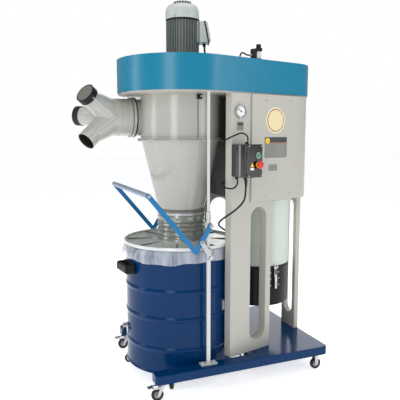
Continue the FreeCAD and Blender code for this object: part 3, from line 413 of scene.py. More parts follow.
def wire(name, points, radius, look, body, resolution=6):
    """A smooth round line through a route."""
    curve = bpy.data.curves.new(name, "CURVE")
    curve.dimensions = "3D"
    curve.bevel_depth = radius
    curve.bevel_resolution = resolution
    curve.use_fill_caps = True
    line = curve.splines.new("NURBS")
    line.points.add(len(points) - 1)
    for place, point in zip(line.points, points):
        place.co = (*point, 1)
    line.order_u = 3
    line.use_endpoint_u = True
    line.resolution_u = 8
    curve.materials.append(LOOKS[look].material)
    made = bpy.data.objects.new(name, curve)
    bpy.context.scene.collection.objects.link(made)
    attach(made, body)
    return made


# ---------------------------------------------------------------- stage

# The floor gives off a little of its own light, so it meets the white room without an edge
FLOOR_GLOW = 0.66


def build_stage():
    """Pale floor, soft lights and the camera."""
    scene = bpy.context.scene
    scene.view_settings.view_transform = "Standard"
    world = bpy.data.worlds.new("studio")
    scene.world = world
    world.use_nodes = True
    nodes, links = world.node_tree.nodes, world.node_tree.links
    seen = nodes["Background"]
    seen.inputs["Color"].default_value = (1, 1, 1, 1)
    seen.inputs["Strength"].default_value = 1.0
    felt = nodes.new("ShaderNodeBackground")
    felt.inputs["Color"].default_value = (0.93, 0.96, 1, 1)
    felt.inputs["Strength"].default_value = 0.36
    mix = nodes.new("ShaderNodeMixShader")
    path = nodes.new("ShaderNodeLightPath")
    links.new(path.outputs["Is Camera Ray"], mix.inputs[0])
    links.new(felt.outputs[0], mix.inputs[1])
    links.new(seen.outputs[0], mix.inputs[2])
    links.new(mix.outputs[0], nodes["World Output"].inputs["Surface"])

    floor = bpy.data.meshes.new("floor")
    side = 30.0
    floor.from_pydata([(-side, -side, 0), (side, -side, 0), (side, side, 0), (-side, side, 0)],
                      [], [(0, 1, 2, 3)])
    pale = bpy.data.materials.new("pale_floor")
    pale.use_nodes = True
    shader = pale.node_tree.nodes["Principled BSDF"]
    shader.inputs["Base Color"].default_value = (0.93, 0.93, 0.93, 1)
    shader.inputs["Roughness"].default_value = 0.7
    shader.inputs["Specular IOR Level"].default_value = 0.1
    shader.inputs["Emission Color"].default_value = (1, 1, 1, 1)
    shader.inputs["Emission Strength"].default_value = FLOOR_GLOW
    floor.materials.append(pale)
    ground = bpy.data.objects.new("floor", floor)
    scene.collection.objects.link(ground)

    aim = Vector((0, 0, 1.0))
    for name, place, size, power in (
        ("key", (-3.0, -3.6, 2.6), (1.4, 3.4), 62),
        ("fill", (3.2, -3.4, 2.2), (1.2, 3.2), 34),
        ("side", (-3.8, 0.8, 2.0), (1.0, 3.2), 30),
        ("top", (0.2, -0.4, 4.6), (4.0, 3.4), 80),
        ("back", (2.5, 3.6, 2.6), (2.4, 3.0), 50),
    ):
        light = bpy.data.lights.new(name, "AREA")
        light.shape = "RECTANGLE"
        light.size, light.size_y = size
        light.energy = power
        lamp = bpy.data.objects.new(name, light)
        lamp.location = place
        lamp.rotation_euler = (aim - lamp.location).to_track_quat("-Z", "Y").to_euler()
        scene.collection.objects.link(lamp)

    lens = bpy.data.cameras.new("camera")
    lens.sensor_width = 36.0
    lens.lens = 46.62
    lens.clip_end = 100.0
    camera = bpy.data.objects.new("camera", lens)
    camera.location = (-1.1278, -2.7022, 1.338)
    camera.rotation_euler = (math.radians(90 - 7.15), 0, math.radians(-22.46))
    scene.collection.objects.link(camera)
    scene.camera = camera


# ---------------------------------------------------------------- small fittings

def studs(name, places, out, radius, height, look, body, sides=6):
    """Bolt heads in one piece, each at its place, standing out along a direction."""
    shape = bmesh.new()
    turn = UP.rotation_difference(Vector(out)).to_matrix().to_4x4()
    for place in places:
        head = bmesh.ops.create_cone(shape, cap_ends=True, segments=sides, radius1=radius,
                                     radius2=radius * 0.92, depth=height)["verts"]
        washer = bmesh.ops.create_cone(shape, cap_ends=True, segments=24, radius1=radius * 1.35,
                                       radius2=radius * 1.35, depth=height * 0.3)["verts"]
        bmesh.ops.translate(shape, verts=head, vec=(0, 0, height * 0.75))
        bmesh.ops.translate(shape, verts=washer, vec=(0, 0, height * 0.15))
        bmesh.ops.transform(shape, verts=head + washer,
                            matrix=Matrix.Translation(Vector(place)) @ turn)
    return piece(name, shape, look, body)


FACE = span("side_columns", FACE_OUT)[1]      # how far out the front face is
PANEL_PROUD = 0.010


def front_point(along, out, height):
    """A point given along the front face, out from it, and above the floor."""
    return FACE_ALONG * along + FACE_OUT * (FACE + out) + UP * height


# ---------------------------------------------------------------- drum, liner, lid and hose

HOOPS = (0.207, 0.372, 0.521)
HOOP_HEIGHT = 0.005
SHEET = 0.003
GRIP_ANGLE, GRIP_HEIGHT = 6, 0.625
BRACKET_ANGLE, BRACKET_HEIGHT = 172, 0.254
CATCH_ANGLE, CATCH_HEIGHT = -58, 0.420
LINER_STEPS = 288
LINER_SKIRT = (0.0, 0.18, 0.36, 0.54, 0.7, 0.83, 0.93)
LINER_WALL = (0.06, 0.3, 0.65, 0.97)
LINER_FLOOR = (0.1, 0.6, 0.97)
LINER_WAVES = [(6.5, 0.4, 0.0030), (10.5, 1.9, 0.0026), (17.5, 3.1, 0.0018), (29.5, 0.7, 0.0010)]
LID_RADIUS, COLLAR_RADIUS, LID_RIM = 0.311, 0.130, 0.017
LID_STEPS, LID_RIBS = 144, 8
LID_PIN_HEIGHT = 0.718


def build_drum():
    """Steel drum with rolled hoops, chimes and its fittings."""
    low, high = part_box("drum_shell")
    hoop = (high.y - low.y) / 2
    wall = hoop - HOOP_HEIGHT
    outer = [(0, low.z), (wall - 0.012, low.z), (hoop - 0.0005, low.z + 0.001),
             (hoop, low.z + 0.010), (wall, low.z + 0.016)]
    for z in HOOPS:
        outer += [(wall, z - 0.014), (hoop, z - 0.005), (hoop, z + 0.005), (wall, z + 0.014)]
    outer += [(wall, high.z - 0.014), (hoop, high.z - 0.009), (hoop, high.z - 0.001),
              (wall - SHEET, high.z - 0.0005)]
    inner = [(wall - SHEET, low.z + SHEET), (0, low.z + SHEET)]
    drum = turned("drum_shell_rolled", rounded(outer + inner, 0.006), "navy_paint", "drum",
                  DRUM, steps=160)
    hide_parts("drum_shell")

    wrap = Matrix.Rotation(math.radians(GRIP_ANGLE), 4, "Z")
    shape = bmesh.new()
    for size, x, y in (((0.023, 0.006, 0.025), -0.322, -0.062),
                       ((0.023, 0.006, 0.025), -0.322, 0.062),
                       ((0.010, 0.068, 0.020), -0.342, 0)):
        block = bmesh.ops.create_cube(shape, size=2.0)["verts"]
        bmesh.ops.scale(shape, verts=block, vec=size)
        bmesh.ops.translate(shape, verts=block, vec=(x, y, GRIP_HEIGHT))
    shape.transform(Matrix.Translation(DRUM) @ wrap)
    grip = soften(piece("drum_grip", shape, "black_matte", "drum"), 0.004)
    out = wrap @ -RIGHT
    facing("drum_grip_mount", rectangle(0.150, 0.060, 0.012), 0.004, "black_matte", "drum",
           DRUM + out * (wall - 0.001) + UP * GRIP_HEIGHT, out, 0.001)
    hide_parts("drum_handles")

    out = heading(BRACKET_ANGLE)
    foot = DRUM + out * (wall + 0.0005) + UP * BRACKET_HEIGHT
    for name, outline, depth, look, place in (
        ("plate", rectangle(0.056, 0.050, 0.006), 0.004, "zinc", foot),
        ("lip", rectangle(0.050, 0.010, 0.003), 0.024, "zinc", foot + out * 0.003 + UP * 0.016),
        ("hook", rectangle(0.046, 0.036, 0.005), 0.004, "black_matte",
         foot + out * 0.024 - UP * 0.002),
    ):
        facing("drum_bracket_" + name, outline, depth, look, "drum", place, out, 0.001)
    out = heading(CATCH_ANGLE)
    foot = DRUM + out * wall + UP * CATCH_HEIGHT
    facing("drum_catch_plate", rectangle(0.014, 0.064, 0.004), 0.004, "zinc", "drum", foot, out,
           0.001)
    facing("drum_catch_lever", rectangle(0.010, 0.048, 0.004), 0.004, "steel", "drum",
           foot + out * 0.006, out, 0.001)


def liner_column(angle, hem, rim, floor, hoop, inside):
    """The liner at one angle: skirt outside, over the rim, wall and floor inside."""
    free = 0.22 + 0.78 * min(1.0, max(0.0, (0.35 - math.cos(angle)) / 0.5))
    flare = max(0.0, -math.cos(angle - 0.15)) ** 5
    fold = sum(size * (1 - abs(math.sin(n * (angle + 0.02 * math.sin(3 * angle)) + phase)))
               for n, phase, size in LINER_WAVES)
    sway = 0.006 * math.sin(4 * angle + 1) + 0.003 * math.sin(13 * angle)
    column = []
    for t in LINER_SKIRT:
        z = hem + (rim - 0.002 - hem) * t + sway * (1 - t) * (0.3 + 0.7 * free)
        loose = (1 - t) ** 0.6
        bulge = math.sin(math.pi * min(1.0, 0.25 + 0.75 * t)) ** 1.5
        radius = hoop + 0.0016 + 1.25 * fold * free * loose
        column.append((DRUM, radius + flare * (0.003 + 0.020 * bulge), z))
    column += [(DRUM, hoop + 0.0008, rim), (DRUM, inside, rim)]
    for t in LINER_WALL:
        column.append((DRUM, inside - 0.6 * fold * t, rim - (rim - floor) * t))
    for t in LINER_FLOOR:
        column.append((DRUM, (inside - 0.004) * (1 - t), floor + 0.15 * fold * (1 - t)))
    return column


def build_liner():
    """Plastic drum liner: a skirt outside the rim, over it, and down inside."""
    low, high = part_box("drum_shell")
    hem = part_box("bag_skirt")[0].z
    hoop = (high.y - low.y) / 2
    rim = high.z + 0.0003
    inside = hoop - HOOP_HEIGHT - SHEET - 0.0015
    shape = lathe(LINER_STEPS, lambda angle: liner_column(angle, hem, rim, low.z + 0.006, hoop,
                                                          inside))
    liner = piece("drum_liner", shape, "clear_bag", "drum", sharp=180)
    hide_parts("bag_skirt")


def build_lid():
    """Dished lid with its rolled rim, ribs, hose collar and lift lugs."""
    low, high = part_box("drum_lid")
    radius, collar = LID_RADIUS, COLLAR_RADIUS
    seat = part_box("drum_shell")[1].z + 0.001
    rim_top = seat + LID_RIM
    profile = [
        (0, collar - 0.003, high.z), (0, collar, high.z), (0, collar, seat + 0.014),
        (0, collar + 0.010, seat + 0.011), (1, radius - 0.020, seat + 0.0045),
        (1, radius - 0.009, seat + 0.0055), (1, radius - 0.007, rim_top - 0.002),
        (1, radius - 0.0035, rim_top), (1, radius - 0.0005, rim_top - 0.0025),
        (1, radius, seat + 0.003), (1, radius - 0.001, seat),
        (1, radius - 0.012, seat), (0, collar - 0.003, seat),
    ]
    column = [(CYCLONE.lerp(DRUM, weight), r, z) for weight, r, z in profile]
    shape = lathe(LID_STEPS, lambda angle: column, closed=True)
    lid = piece("drum_lid_dished", shape, "lid_green", "lid", sharp=50)
    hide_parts("drum_lid")
    # The rim bead is near-white: partly the liner's plastic over it, partly painted highlight
    turned("lid_rim_bead", [(radius - 0.0072, rim_top - 0.004), (radius - 0.0050, rim_top),
                            (radius - 0.0015, rim_top), (radius + 0.0006, rim_top - 0.005),
                            (radius + 0.0006, seat + 0.002), (radius - 0.002, seat + 0.001),
                            (radius - 0.0072, seat + 0.006)],
           "rim_pale_and_painted_highlight", "lid", DRUM, steps=LID_STEPS)
    start, end = 0.150, radius - 0.016
    for index in range(LID_RIBS):
        along = heading((index + 0.5) * 360 / LID_RIBS)
        centre = DRUM + along * ((start + end) / 2) + UP * (seat + 0.006)
        # The ribs are dark grey: painted shade of the lid's grooves
        plate("lid_rib_%d" % index, rectangle(end - start, 0.011, 0.004), 0.006, "dark_grey_and_painted_shade",
              "lid", centre, along, UP.cross(along), 0.002)
    for side, name in ((-1, "front"), (1, "rear")):
        post = POST[name]
        lug_y = (post.y + (DRUM.y + side * (radius - 0.012))) / 2
        plate("lid_lug_" + name, rectangle(0.028, abs(post.y - DRUM.y) - radius + 0.012, 0.003),
              0.016, "lid_green", "lid", Vector((post.x, lug_y, seat)), RIGHT, BACK, 0.002)
        turned("lid_sleeve_" + name, band(0.0085, 0.015, low.z, rim_top - 0.001, 0.002), "zinc",
               "lid", flat_of(post), steps=40)
        turned("lid_pin_" + name, rounded([(0, 0), (0.005, 0), (0.005, 0.017), (0.0075, 0.0175),
                                           (0.0075, 0.0195), (0, 0.0195)], 0.001),
               "steel", "lid", Vector((post.x + 0.001, post.y + side * 0.0135, LID_PIN_HEIGHT)),
               side * BACK, steps=32)


def posts():
    """Centre lines of the front and rear guide posts, on the floor."""
    low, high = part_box("guide_posts")
    x = (low.x + high.x) / 2
    return {"front": Vector((x, low.y + 0.022, 0)), "rear": Vector((x, high.y - 0.022, 0))}


POST = posts()


HOSE_RADIUS, HOSE_ROWS, HOSE_STEPS = 0.1322, 72, 120
# Folds of the hose: share of its height, width of the fold, and how far it stands out
HOSE_FOLDS = [(0.10, 0.030, 0.0016), (0.20, 0.026, 0.0030), (0.315, 0.020, -0.0050),
              (0.40, 0.026, 0.0034), (0.485, 0.020, -0.0085), (0.56, 0.022, 0.0034),
              (0.635, 0.018, -0.0090), (0.70, 0.020, 0.0026), (0.84, 0.070, 0.0026),
              (0.955, 0.012, -0.0026)]


def hose_column(angle, low, height):
    """The hose at one angle, with its folds and crumples."""
    column = []
    for row in range(HOSE_ROWS + 1):
        t = row / HOSE_ROWS
        tilt = 0.018 * math.sin(angle + 2.2) * math.sin(math.pi * t)
        reach = HOSE_RADIUS
        for place, width, size in HOSE_FOLDS:
            wander = 0.010 * math.sin(2 * angle + 40 * place)
            reach += size * math.exp(-((t - place - wander - tilt) / width) ** 2)
        crumple = math.sin(5 * angle + 9 * t) * math.sin(11 * angle - 23 * t)
        reach += 0.0010 * crumple * math.sin(math.pi * t)
        column.append((CYCLONE, reach, low + height * t))
    return column


def build_hose():
    """Flexible duct from the cone to the lid, held by a band at each end."""
    low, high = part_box("flex_hose")
    height = high.z - low.z
    shape = lathe(HOSE_STEPS, lambda angle: hose_column(angle, low.z, height))
    hose = piece("flex_hose_duct", shape, "hose", None, sharp=180)
    thick = hose.modifiers.new("wall", "SOLIDIFY")
    thick.thickness = 0.0016
    thick.offset = -1
    bpy.context.view_layer.objects.active = hose
    with bpy.context.temp_override(object=hose):
        bpy.ops.object.modifier_apply(modifier="wall")
    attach(hose, "root")
    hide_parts("flex_hose")
    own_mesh(hose)
    inner, outer = HOSE_RADIUS - 0.001, HOSE_RADIUS + 0.003
    for name, body, z in (("top", "root", high.z - 0.007), ("bottom", "lid", low.z + 0.006)):
        turned("hose_band_" + name, band(inner, outer, z - 0.006, z + 0.006, 0.001), "zinc", body,
               CYCLONE)


# ---------------------------------------------------------------- motor

COWL_RADIUS, COWL_VENTS = 0.092, 20
TERMINAL_ANGLE, TERMINAL_START, TERMINAL_HALF, TERMINAL_HEIGHT = -22, 0.080, 0.044, 0.114


def build_motor():
    """Fan cowl with rounded shoulders, intake cap and terminal box."""
    low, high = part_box("motor_fan_cowl")
    radius, top = COWL_RADIUS, high.z
    shoulder = top - 0.016
    lip = low.z + 0.008
    outer = [(radius + 0.001, lip), (radius + 0.001, lip + 0.005), (radius, lip + 0.007),
             (radius, shoulder - 0.030), (radius - 0.012, shoulder - 0.006),
             (radius - 0.036, shoulder), (0.048, shoulder)]
    cap = [(0.048, top - 0.002), (0.045, top), (0, top)]
    inner = [(0, top - 0.003), (0.044, top - 0.003), (0.044, shoulder - 0.002),
             (radius - 0.037, shoulder - 0.002), (radius - 0.014, shoulder - 0.008),
             (radius - 0.002, shoulder - 0.031), (radius - 0.002, lip)]
    cowl = turned("motor_cowl_pressed", rounded(outer + cap + inner, 0.008), "cowl_grey", "root",
                  MOTOR)
    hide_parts("motor_fan_cowl")
    vents = bmesh.new()
    for index in range(COWL_VENTS):
        vane = bmesh.ops.create_cube(vents, size=1.0)["verts"]
        bmesh.ops.scale(vents, verts=vane, vec=(0.003, 0.009, 0.0105))
        turn = Matrix.Rotation(2 * math.pi * index / COWL_VENTS, 4, "Z")
        bmesh.ops.transform(vents, verts=vane, matrix=Matrix.Translation(
            MOTOR + UP * (top - 0.0085)) @ turn @ Matrix.Translation((0.0475, 0, 0)))
    piece("motor_cap_vents", vents, "plate_dark", "root")
    # A black ring filling the gap under the cowl: painted shade of the gap
    turned("motor_cowl_gap", band(0.078, radius - 0.003, low.z, lip, 0.001), "black_matte",
           "root", MOTOR)
    turned("motor_foot_ring", rounded([(0.079, 1.7495), (0.098, 1.7495), (0.098, 1.756),
                                       (0.086, 1.764), (0.079, 1.764)], 0.002, closed=True),
           "motor_grey", "root", MOTOR)
    for index in range(4):
        out = heading(45 + 90 * index)
        place = MOTOR + out * (radius + 0.0005) + UP * (low.z + 0.016)
        studs("cowl_screw_%d" % index, [place], out, 0.0035, 0.003, "zinc", "root")
    build_terminal_box()


def build_terminal_box():
    """Terminal box: cast base, black gasket and slanted cover, turned a little forward."""
    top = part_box("junction_box")[1].z
    bottom = top - TERMINAL_HEIGHT
    start, half = TERMINAL_START, TERMINAL_HALF
    out = heading(TERMINAL_ANGLE)
    side = UP.cross(out)
    for name, look, width, bevel, outline in (
        ("base", "cowl_grey", half, 0.004, [(start, bottom), (start + 0.060, bottom),
                                            (start + 0.038, top), (start, top)]),
        ("gasket", "black_matte", half + 0.003, 0.001,
         [(start + 0.0595, bottom - 0.001), (start + 0.0655, bottom - 0.0005),
          (start + 0.0435, top), (start + 0.0375, top)]),
        ("cover", "cowl_grey", half + 0.002, 0.004,
         [(start + 0.065, bottom), (start + 0.074, bottom + 0.010),
          (start + 0.056, top - 0.006), (start + 0.043, top - 0.0005)]),
    ):
        plate("terminal_" + name, outline, -2 * width, look, "root",
                           MOTOR - side * width, out, UP, bevel)
    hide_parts("junction_box")
    rim = half + 0.003
    plate("terminal_root_gasket", [(-rim, bottom - 0.001), (rim, bottom - 0.001), (rim, top),
                                   (-rim, top)], 0.005, "black_matte", "root",
          MOTOR + out * (start + 0.007), side, UP, 0.001)
    gland = MOTOR + out * (start + 0.038) + UP * (bottom - 0.016)
    turned("terminal_gland", rounded([(0.0055, 0), (0.0075, 0), (0.009, 0.006), (0.009, 0.0155),
                                      (0.0055, 0.0155)], 0.001, closed=True),
           "black_matte", "root", gland, steps=24)


# ---------------------------------------------------------------- inlet wye

INLET_AXIS = Vector((0, 0.1498, 1.435))
WYE_CREASE = 0.19
CREASE_ENDS = {"upper": (-0.603, 1.533), "lower": (-0.603, 1.341)}
CREASE_STEPS = 14
PORT_BORE, PORT_OUTER = 0.0487, 0.0525


def on_wye(x, z):
    """The wye's near surface at a place seen from the front."""
    hit, place, _, _ = NODES["inlet_wye"].ray_cast(Vector((x, -1, z)), BACK)
    return place if hit else None


def build_wye():
    """Beads on the creases in a lighter grey as painted highlight, cap discs, the open port's
    inside darkened as painted shade, and pipe bands.
    """
    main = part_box("inlet_wye")
    root_x, root_z = main[0].x + WYE_CREASE, INLET_AXIS.z
    for name, (end_x, end_z) in CREASE_ENDS.items():
        parts = [step / CREASE_STEPS for step in range(CREASE_STEPS + 1)]
        points = [on_wye(root_x + (end_x - root_x) * t, root_z + (end_z - root_z) * t)
                  for t in parts]
        # The crease beads are lighter than the wye: painted highlight along the creases
        wire("wye_crease_bead_" + name, [point for point in points if point], 0.0042, "crease_highlight_grey", "root", 2)
    for name in ("upper", "rear"):
        axis = Vector(JOINTS["cap_pull_" + name]["axis"])
        centre = middle("port_cap_" + name)
        end = centre + axis * (span("port_cap_" + name, axis)[1] - centre.dot(axis))
        turned("cap_disc_" + name, rounded([(0, -0.001), (0.0475, -0.001), (0.0475, 0.0008),
                                            (0, 0.0008)], 0.0006), "cap_grey", "cap_" + name,
               end, axis, steps=64)
    port = frame["record"]["mounts"][0]
    axis = Vector(port["axis"])
    mouth = Vector(port["pos_m"]) + axis * 0.0245
    # A dark sleeve inside the open port: painted shade of its inside
    turned("port_inside_painted_shade", rounded([(PORT_BORE, -0.070), (PORT_BORE, -0.002), (0.0483, -0.002),
                                   (0.0483, -0.070)], 0.0002, closed=True), "painted_shade_dark", "root",
           mouth, axis, steps=64)
    turned("port_lip", band(PORT_BORE, PORT_OUTER, -0.004, 0, 0.0012), "cyclone_grey", "root",
           mouth, axis, steps=64)
    ring_at = Vector((main[1].x, INLET_AXIS.y, INLET_AXIS.z))
    for name, back, wide, radius, look in (("near", 0.004, 0.007, 0.1100, "black_matte"),
                                           ("far", 0.026, 0.004, 0.1092, "black_matte"),
                                           ("bead", 0.056, 0.004, 0.1030, "cyclone_grey"),
                                           ("bead_two", 0.088, 0.004, 0.1030, "cyclone_grey")):
        turned("inlet_band_" + name, band(0.1012, radius, back, back + wide, 0.0012), look,
               "root", ring_at, -RIGHT)


SEAM_ANGLE, SEAM_RADIUS = -87, 0.2235


def build_cyclone_details():
    """Painted shade of the barrel's seam gap and of the gap between the flanges, and the collar
    above the hose.
    """
    barrel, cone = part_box("cyclone_barrel"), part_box("cyclone_cone")
    flange = (cone[1].x - cone[0].x) / 2
    joint = cone[1].z
    # A thin black ring between the flanges: painted shade of the gap line between them
    turned("flange_gap_shade", [(flange - 0.010, joint - 0.001), (flange + 0.0006, joint - 0.001),
                             (flange + 0.0006, joint + 0.001), (flange - 0.010, joint + 0.001)],
           "black_matte", "root", CYCLONE, steps=128)
    way = heading(SEAM_ANGLE)
    across = UP.cross(way)
    height = barrel[1].z - joint
    foot = CYCLONE + way * SEAM_RADIUS + UP * (joint + height / 2 + 0.003)
    top = foot + UP * (height / 2 - 0.020)
    # A thin dark strip along the seam: painted shade of the gap in the barrel's lap seam
    facing("barrel_seam_shade_line", rectangle(0.003, height - 0.010), 0.0015, "dark_grey_and_painted_shade", "root", foot, way)
    facing("barrel_bracket", rectangle(0.030, 0.026, 0.003), 0.006, "black_matte", "root",
           top + across * 0.008, way, 0.001)
    studs("barrel_bracket_bolt", [top + UP * 0.002 + across * 0.014 + way * 0.004], way,
          0.006, 0.006, "zinc", "root")
    collar_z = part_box("flex_hose")[1].z
    ring = rounded([(0.1262, collar_z + 0.004), (0.1312, collar_z + 0.004),
                    (0.1330, collar_z + 0.018), (0.1290, collar_z + 0.018)], 0.001, closed=True)
    turned("cone_collar", ring, "dark_grey_and_painted_shade", "root", CYCLONE)


# ---------------------------------------------------------------- switch box and front face

SWITCH_LOW, SWITCH_HIGH = 1.124, 1.292
SWITCH_BOW, SWITCH_COVER = 0.0126, 0.014
COLLAR_BORE, COLLAR_OUTER = 0.0112, 0.0155
BUTTONS = {
    "start": ("zinc", "green_plastic", 48,
              [(0, -0.006), (0.0104, -0.006), (0.0104, 0.0115), (0, 0.0125)], 0.002),
    "stop": ("plate_yellow", "red_plastic", 56,
             [(0, -0.006), (0.0104, -0.006), (0.0104, 0.010), (0.020, 0.014), (0.020, 0.019),
              (0.013, 0.0245), (0, 0.0250)], 0.003),
}
# Glands: name, place along the box, out from the face, height, and which way they point
GLANDS = [
    ("lead_below", 0.012, 0.030, SWITCH_LOW, -1),
    ("mains", 0.032, 0.074, SWITCH_LOW, -1),
    ("lead_above", 0.040, 0.075, SWITCH_HIGH, 1),
]


def build_switch_box():
    """Switch box: case with a bowed side, front cover, seam, screws and button collars."""
    left, right = span("control_box", FACE_ALONG)
    depth = span("control_box", FACE_OUT)[1] - FACE
    case_depth = depth - SWITCH_COVER
    start = left + 0.007
    wide, tall = right - start, SWITCH_HIGH - SWITCH_LOW
    side = [(right, 0.0), (right, case_depth), (start, case_depth)]
    for step in range(1, 8):
        t = step / 8
        side.append((start - SWITCH_BOW * math.sin(math.pi * t), case_depth * (1 - t)))
    side.append((start, 0.0))
    case = plate("switch_case", side, tall, "black_plastic", "root",
                 front_point(0, 0, SWITCH_HIGH), FACE_ALONG, FACE_OUT, 0.005)
    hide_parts("control_box")
    mid, mid_z = (start + right) / 2, (SWITCH_LOW + SWITCH_HIGH) / 2
    facing("switch_cover", rectangle(wide, tall, 0.006), 0.0125, "black_plastic", "root",
           front_point(mid, case_depth + 0.0012, mid_z), FACE_OUT, 0.003)
    facing("switch_seam", rectangle(wide - 0.003, tall - 0.003, 0.005), 0.003, "rubber", "root",
           front_point(mid, case_depth - 0.001, mid_z), FACE_OUT)
    corners = [front_point(mid + x * (wide - 0.018) / 2, depth, mid_z + z * (tall - 0.018) / 2)
               for x in (-1, 1) for z in (-1, 1)]
    studs("switch_screws", corners, FACE_OUT, 0.0026, 0.002, "zinc", "root", sides=20)
    facing("switch_label", [(-0.013, 0), (0.013, 0), (0, 0.022)], 0.0006, "plate_yellow", "root",
           front_point(start + 0.030, depth, 1.178), FACE_OUT)
    facing("switch_strip", rectangle(0.024, 0.010), 0.0006, "white_dial", "root",
           front_point(start + 0.030, depth, 1.168), FACE_OUT)
    for name, (ring_look, look, steps, profile, round_by) in BUTTONS.items():
        node = name + "_button"
        place = front_point(sum(span(node, FACE_ALONG)) / 2, depth, middle(node).z)
        collar = rounded([(COLLAR_BORE, -0.002), (COLLAR_OUTER, -0.002), (COLLAR_OUTER, 0.003),
                          (COLLAR_BORE, 0.004)], 0.001, closed=True)
        turned(name + "_collar", collar, ring_look, "root", place, FACE_OUT, steps=48)
        button = turned(node + "_cap", rounded(profile, round_by), look, node, place, FACE_OUT,
                        steps=steps)
        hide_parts(node)
    for name, along, out, z, up in GLANDS:
        nut = rounded([(0.0052, 0), (0.0095, 0), (0.0095, 0.007), (0.008, 0.013),
                       (0.0052, 0.013)], 0.001, closed=True)
        turned("gland_" + name, nut, "black_matte", "root", front_point(start + along, out, z),
               UP * up, steps=12)


GAUGE_RADIUS = 0.034


def build_gauge():
    """Pressure gauge: bezel, rim, dial with its scale, and screws."""
    radius = GAUGE_RADIUS
    place = front_point(sum(span("gauge_body", FACE_ALONG)) / 2, 0, middle("gauge_body").z)
    rings = {
        "gauge_bezel": ("zinc", [(radius - 0.004, 0.0005), (radius, 0.0005), (radius, 0.0135),
                                 (radius - 0.0015, 0.016), (radius - 0.004, 0.016)], 0.0015),
        "gauge_rim": ("black_matte", [(radius - 0.0052, 0.002), (radius - 0.0035, 0.002),
                                      (radius - 0.0035, 0.0145), (radius - 0.0052, 0.0135)],
                      0.0004),
    }
    for name, (look, profile, round_by) in rings.items():
        made = turned(name, rounded(profile, round_by, closed=True), look, "root", place,
                      FACE_OUT, steps=64)
        if name == "gauge_bezel":
            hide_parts("gauge_body")
    turned("gauge_dial", [(0, 0.0095), (radius - 0.005, 0.0095), (radius - 0.005, 0.0105),
                          (0, 0.0105)], "white_dial", "root", place, FACE_OUT, steps=64,
           closed=False)
    marks = bmesh.new()
    for index in range(31):
        angle = math.radians(-150 + 10 * index)
        inner, wide = (0.0125, 0.0007) if index % 5 == 0 else (0.0095, 0.0004)
        radial = FACE_ALONG * math.sin(angle) + UP * math.cos(angle)
        across = FACE_OUT.cross(radial)
        base = place + FACE_OUT * 0.0107
        corners = [base + radial * (radius - r) + across * w
                   for r, w in ((inner, -wide), (0.0070, -wide), (0.0070, wide), (inner, wide))]
        marks.faces.new([marks.verts.new(c) for c in corners])
    piece("gauge_marks", marks, "black_matte", "root")
    turned("gauge_post", rounded([(0, 0.0100), (0.002, 0.0100), (0.002, 0.0140), (0, 0.0140)],
                                 0.0004), "zinc", "root", place, FACE_OUT, steps=24)
    studs("gauge_screws", [place - UP * 0.042, place + UP * 0.042], FACE_OUT, 0.0032, 0.0025,
          "zinc", "root", sides=20)


def build_plates():
    """Blank label, badge and rating plate: no lettering, generic shapes."""
    left, right = span("front_plates", FACE_ALONG)
    low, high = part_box("front_plates")
    badge = front_point(right - 0.090, PANEL_PROUD, high.z - 0.070)
    rating = front_point(right - 0.084, PANEL_PROUD, low.z + 0.056)
    fields = [("rating_field_%d" % index, rectangle(0.060, 0.009, 0.001), 0.0016, "hub_grey",
               rating + FACE_ALONG * 0.030 + UP * (0.010 - 0.017 * index)) for index in range(4)]
    for name, outline, depth, look, place in [
        ("gauge_label", rectangle(0.044, 0.044, 0.003), 0.0012, "plate_grey",
         front_point(left + 0.022, 0.0001, 1.384)),
        ("gauge_label_panel", rectangle(0.036, 0.016, 0.001), 0.0016, "plate_dark",
         front_point(left + 0.022, 0.0001, 1.394)),
        ("badge_edge", circle(0.070, 72), 0.0012, "plate_cream", badge),
        ("badge_ring", circle(0.062, 72), 0.0017, "plate_bronze", badge),
        ("badge_field", circle(0.0565, 72), 0.0022, "plate_pale", badge),
        ("rating_plate", rectangle(0.168, 0.112, 0.010), 0.0012, "plate_grey", rating),
        ("rating_band", rectangle(0.166, 0.028, 0.009), 0.0016, "plate_dark",
         rating + UP * 0.041),
        ("rating_line", rectangle(0.166, 0.003), 0.0018, "plate_bronze", rating + UP * 0.0255),
        *fields,
        ("round_sticker", circle(0.016, 40), 0.0024, "plate_yellow",
         rating - FACE_ALONG * 0.064 + UP * 0.036),
        ("small_label", rectangle(0.062, 0.034, 0.002), 0.0012, "plate_grey",
         rating - UP * 0.110 - FACE_ALONG * 0.020),
    ]:
        made = facing(name, outline, depth, look, "root", place, FACE_OUT)
        if name == "gauge_label":
            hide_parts("front_plates")


def build_panel_details():
    """Painted shade: a dark sheet on the enclosure's side wall; and the panel's screws."""
    low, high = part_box("filter_enclosure")
    # A thin dark sheet over the enclosure's side wall: painted shade where the barrel shades it
    facing("painted_shade_wall", rectangle(0.466, high.z - low.z - 0.006, 0.004), 0.0012, "painted_shade_dark",
           "root", Vector((low.x, middle("side_columns").y, (low.z + high.z) / 2)), -RIGHT)
    right = span("front_plates", FACE_ALONG)[1]
    places = [front_point(along, PANEL_PROUD, z) for z in (low.z + 0.030, high.z - 0.030)
              for along in (right - 0.160, right + 0.030)]
    studs("panel_screws", places, FACE_OUT, 0.0045, 0.003, "zinc", "root", sides=20)


# ---------------------------------------------------------------- filter

PLEATS, POINTS_PER_PLEAT = 110, 4
RIVET_TURN = math.radians(8.8)


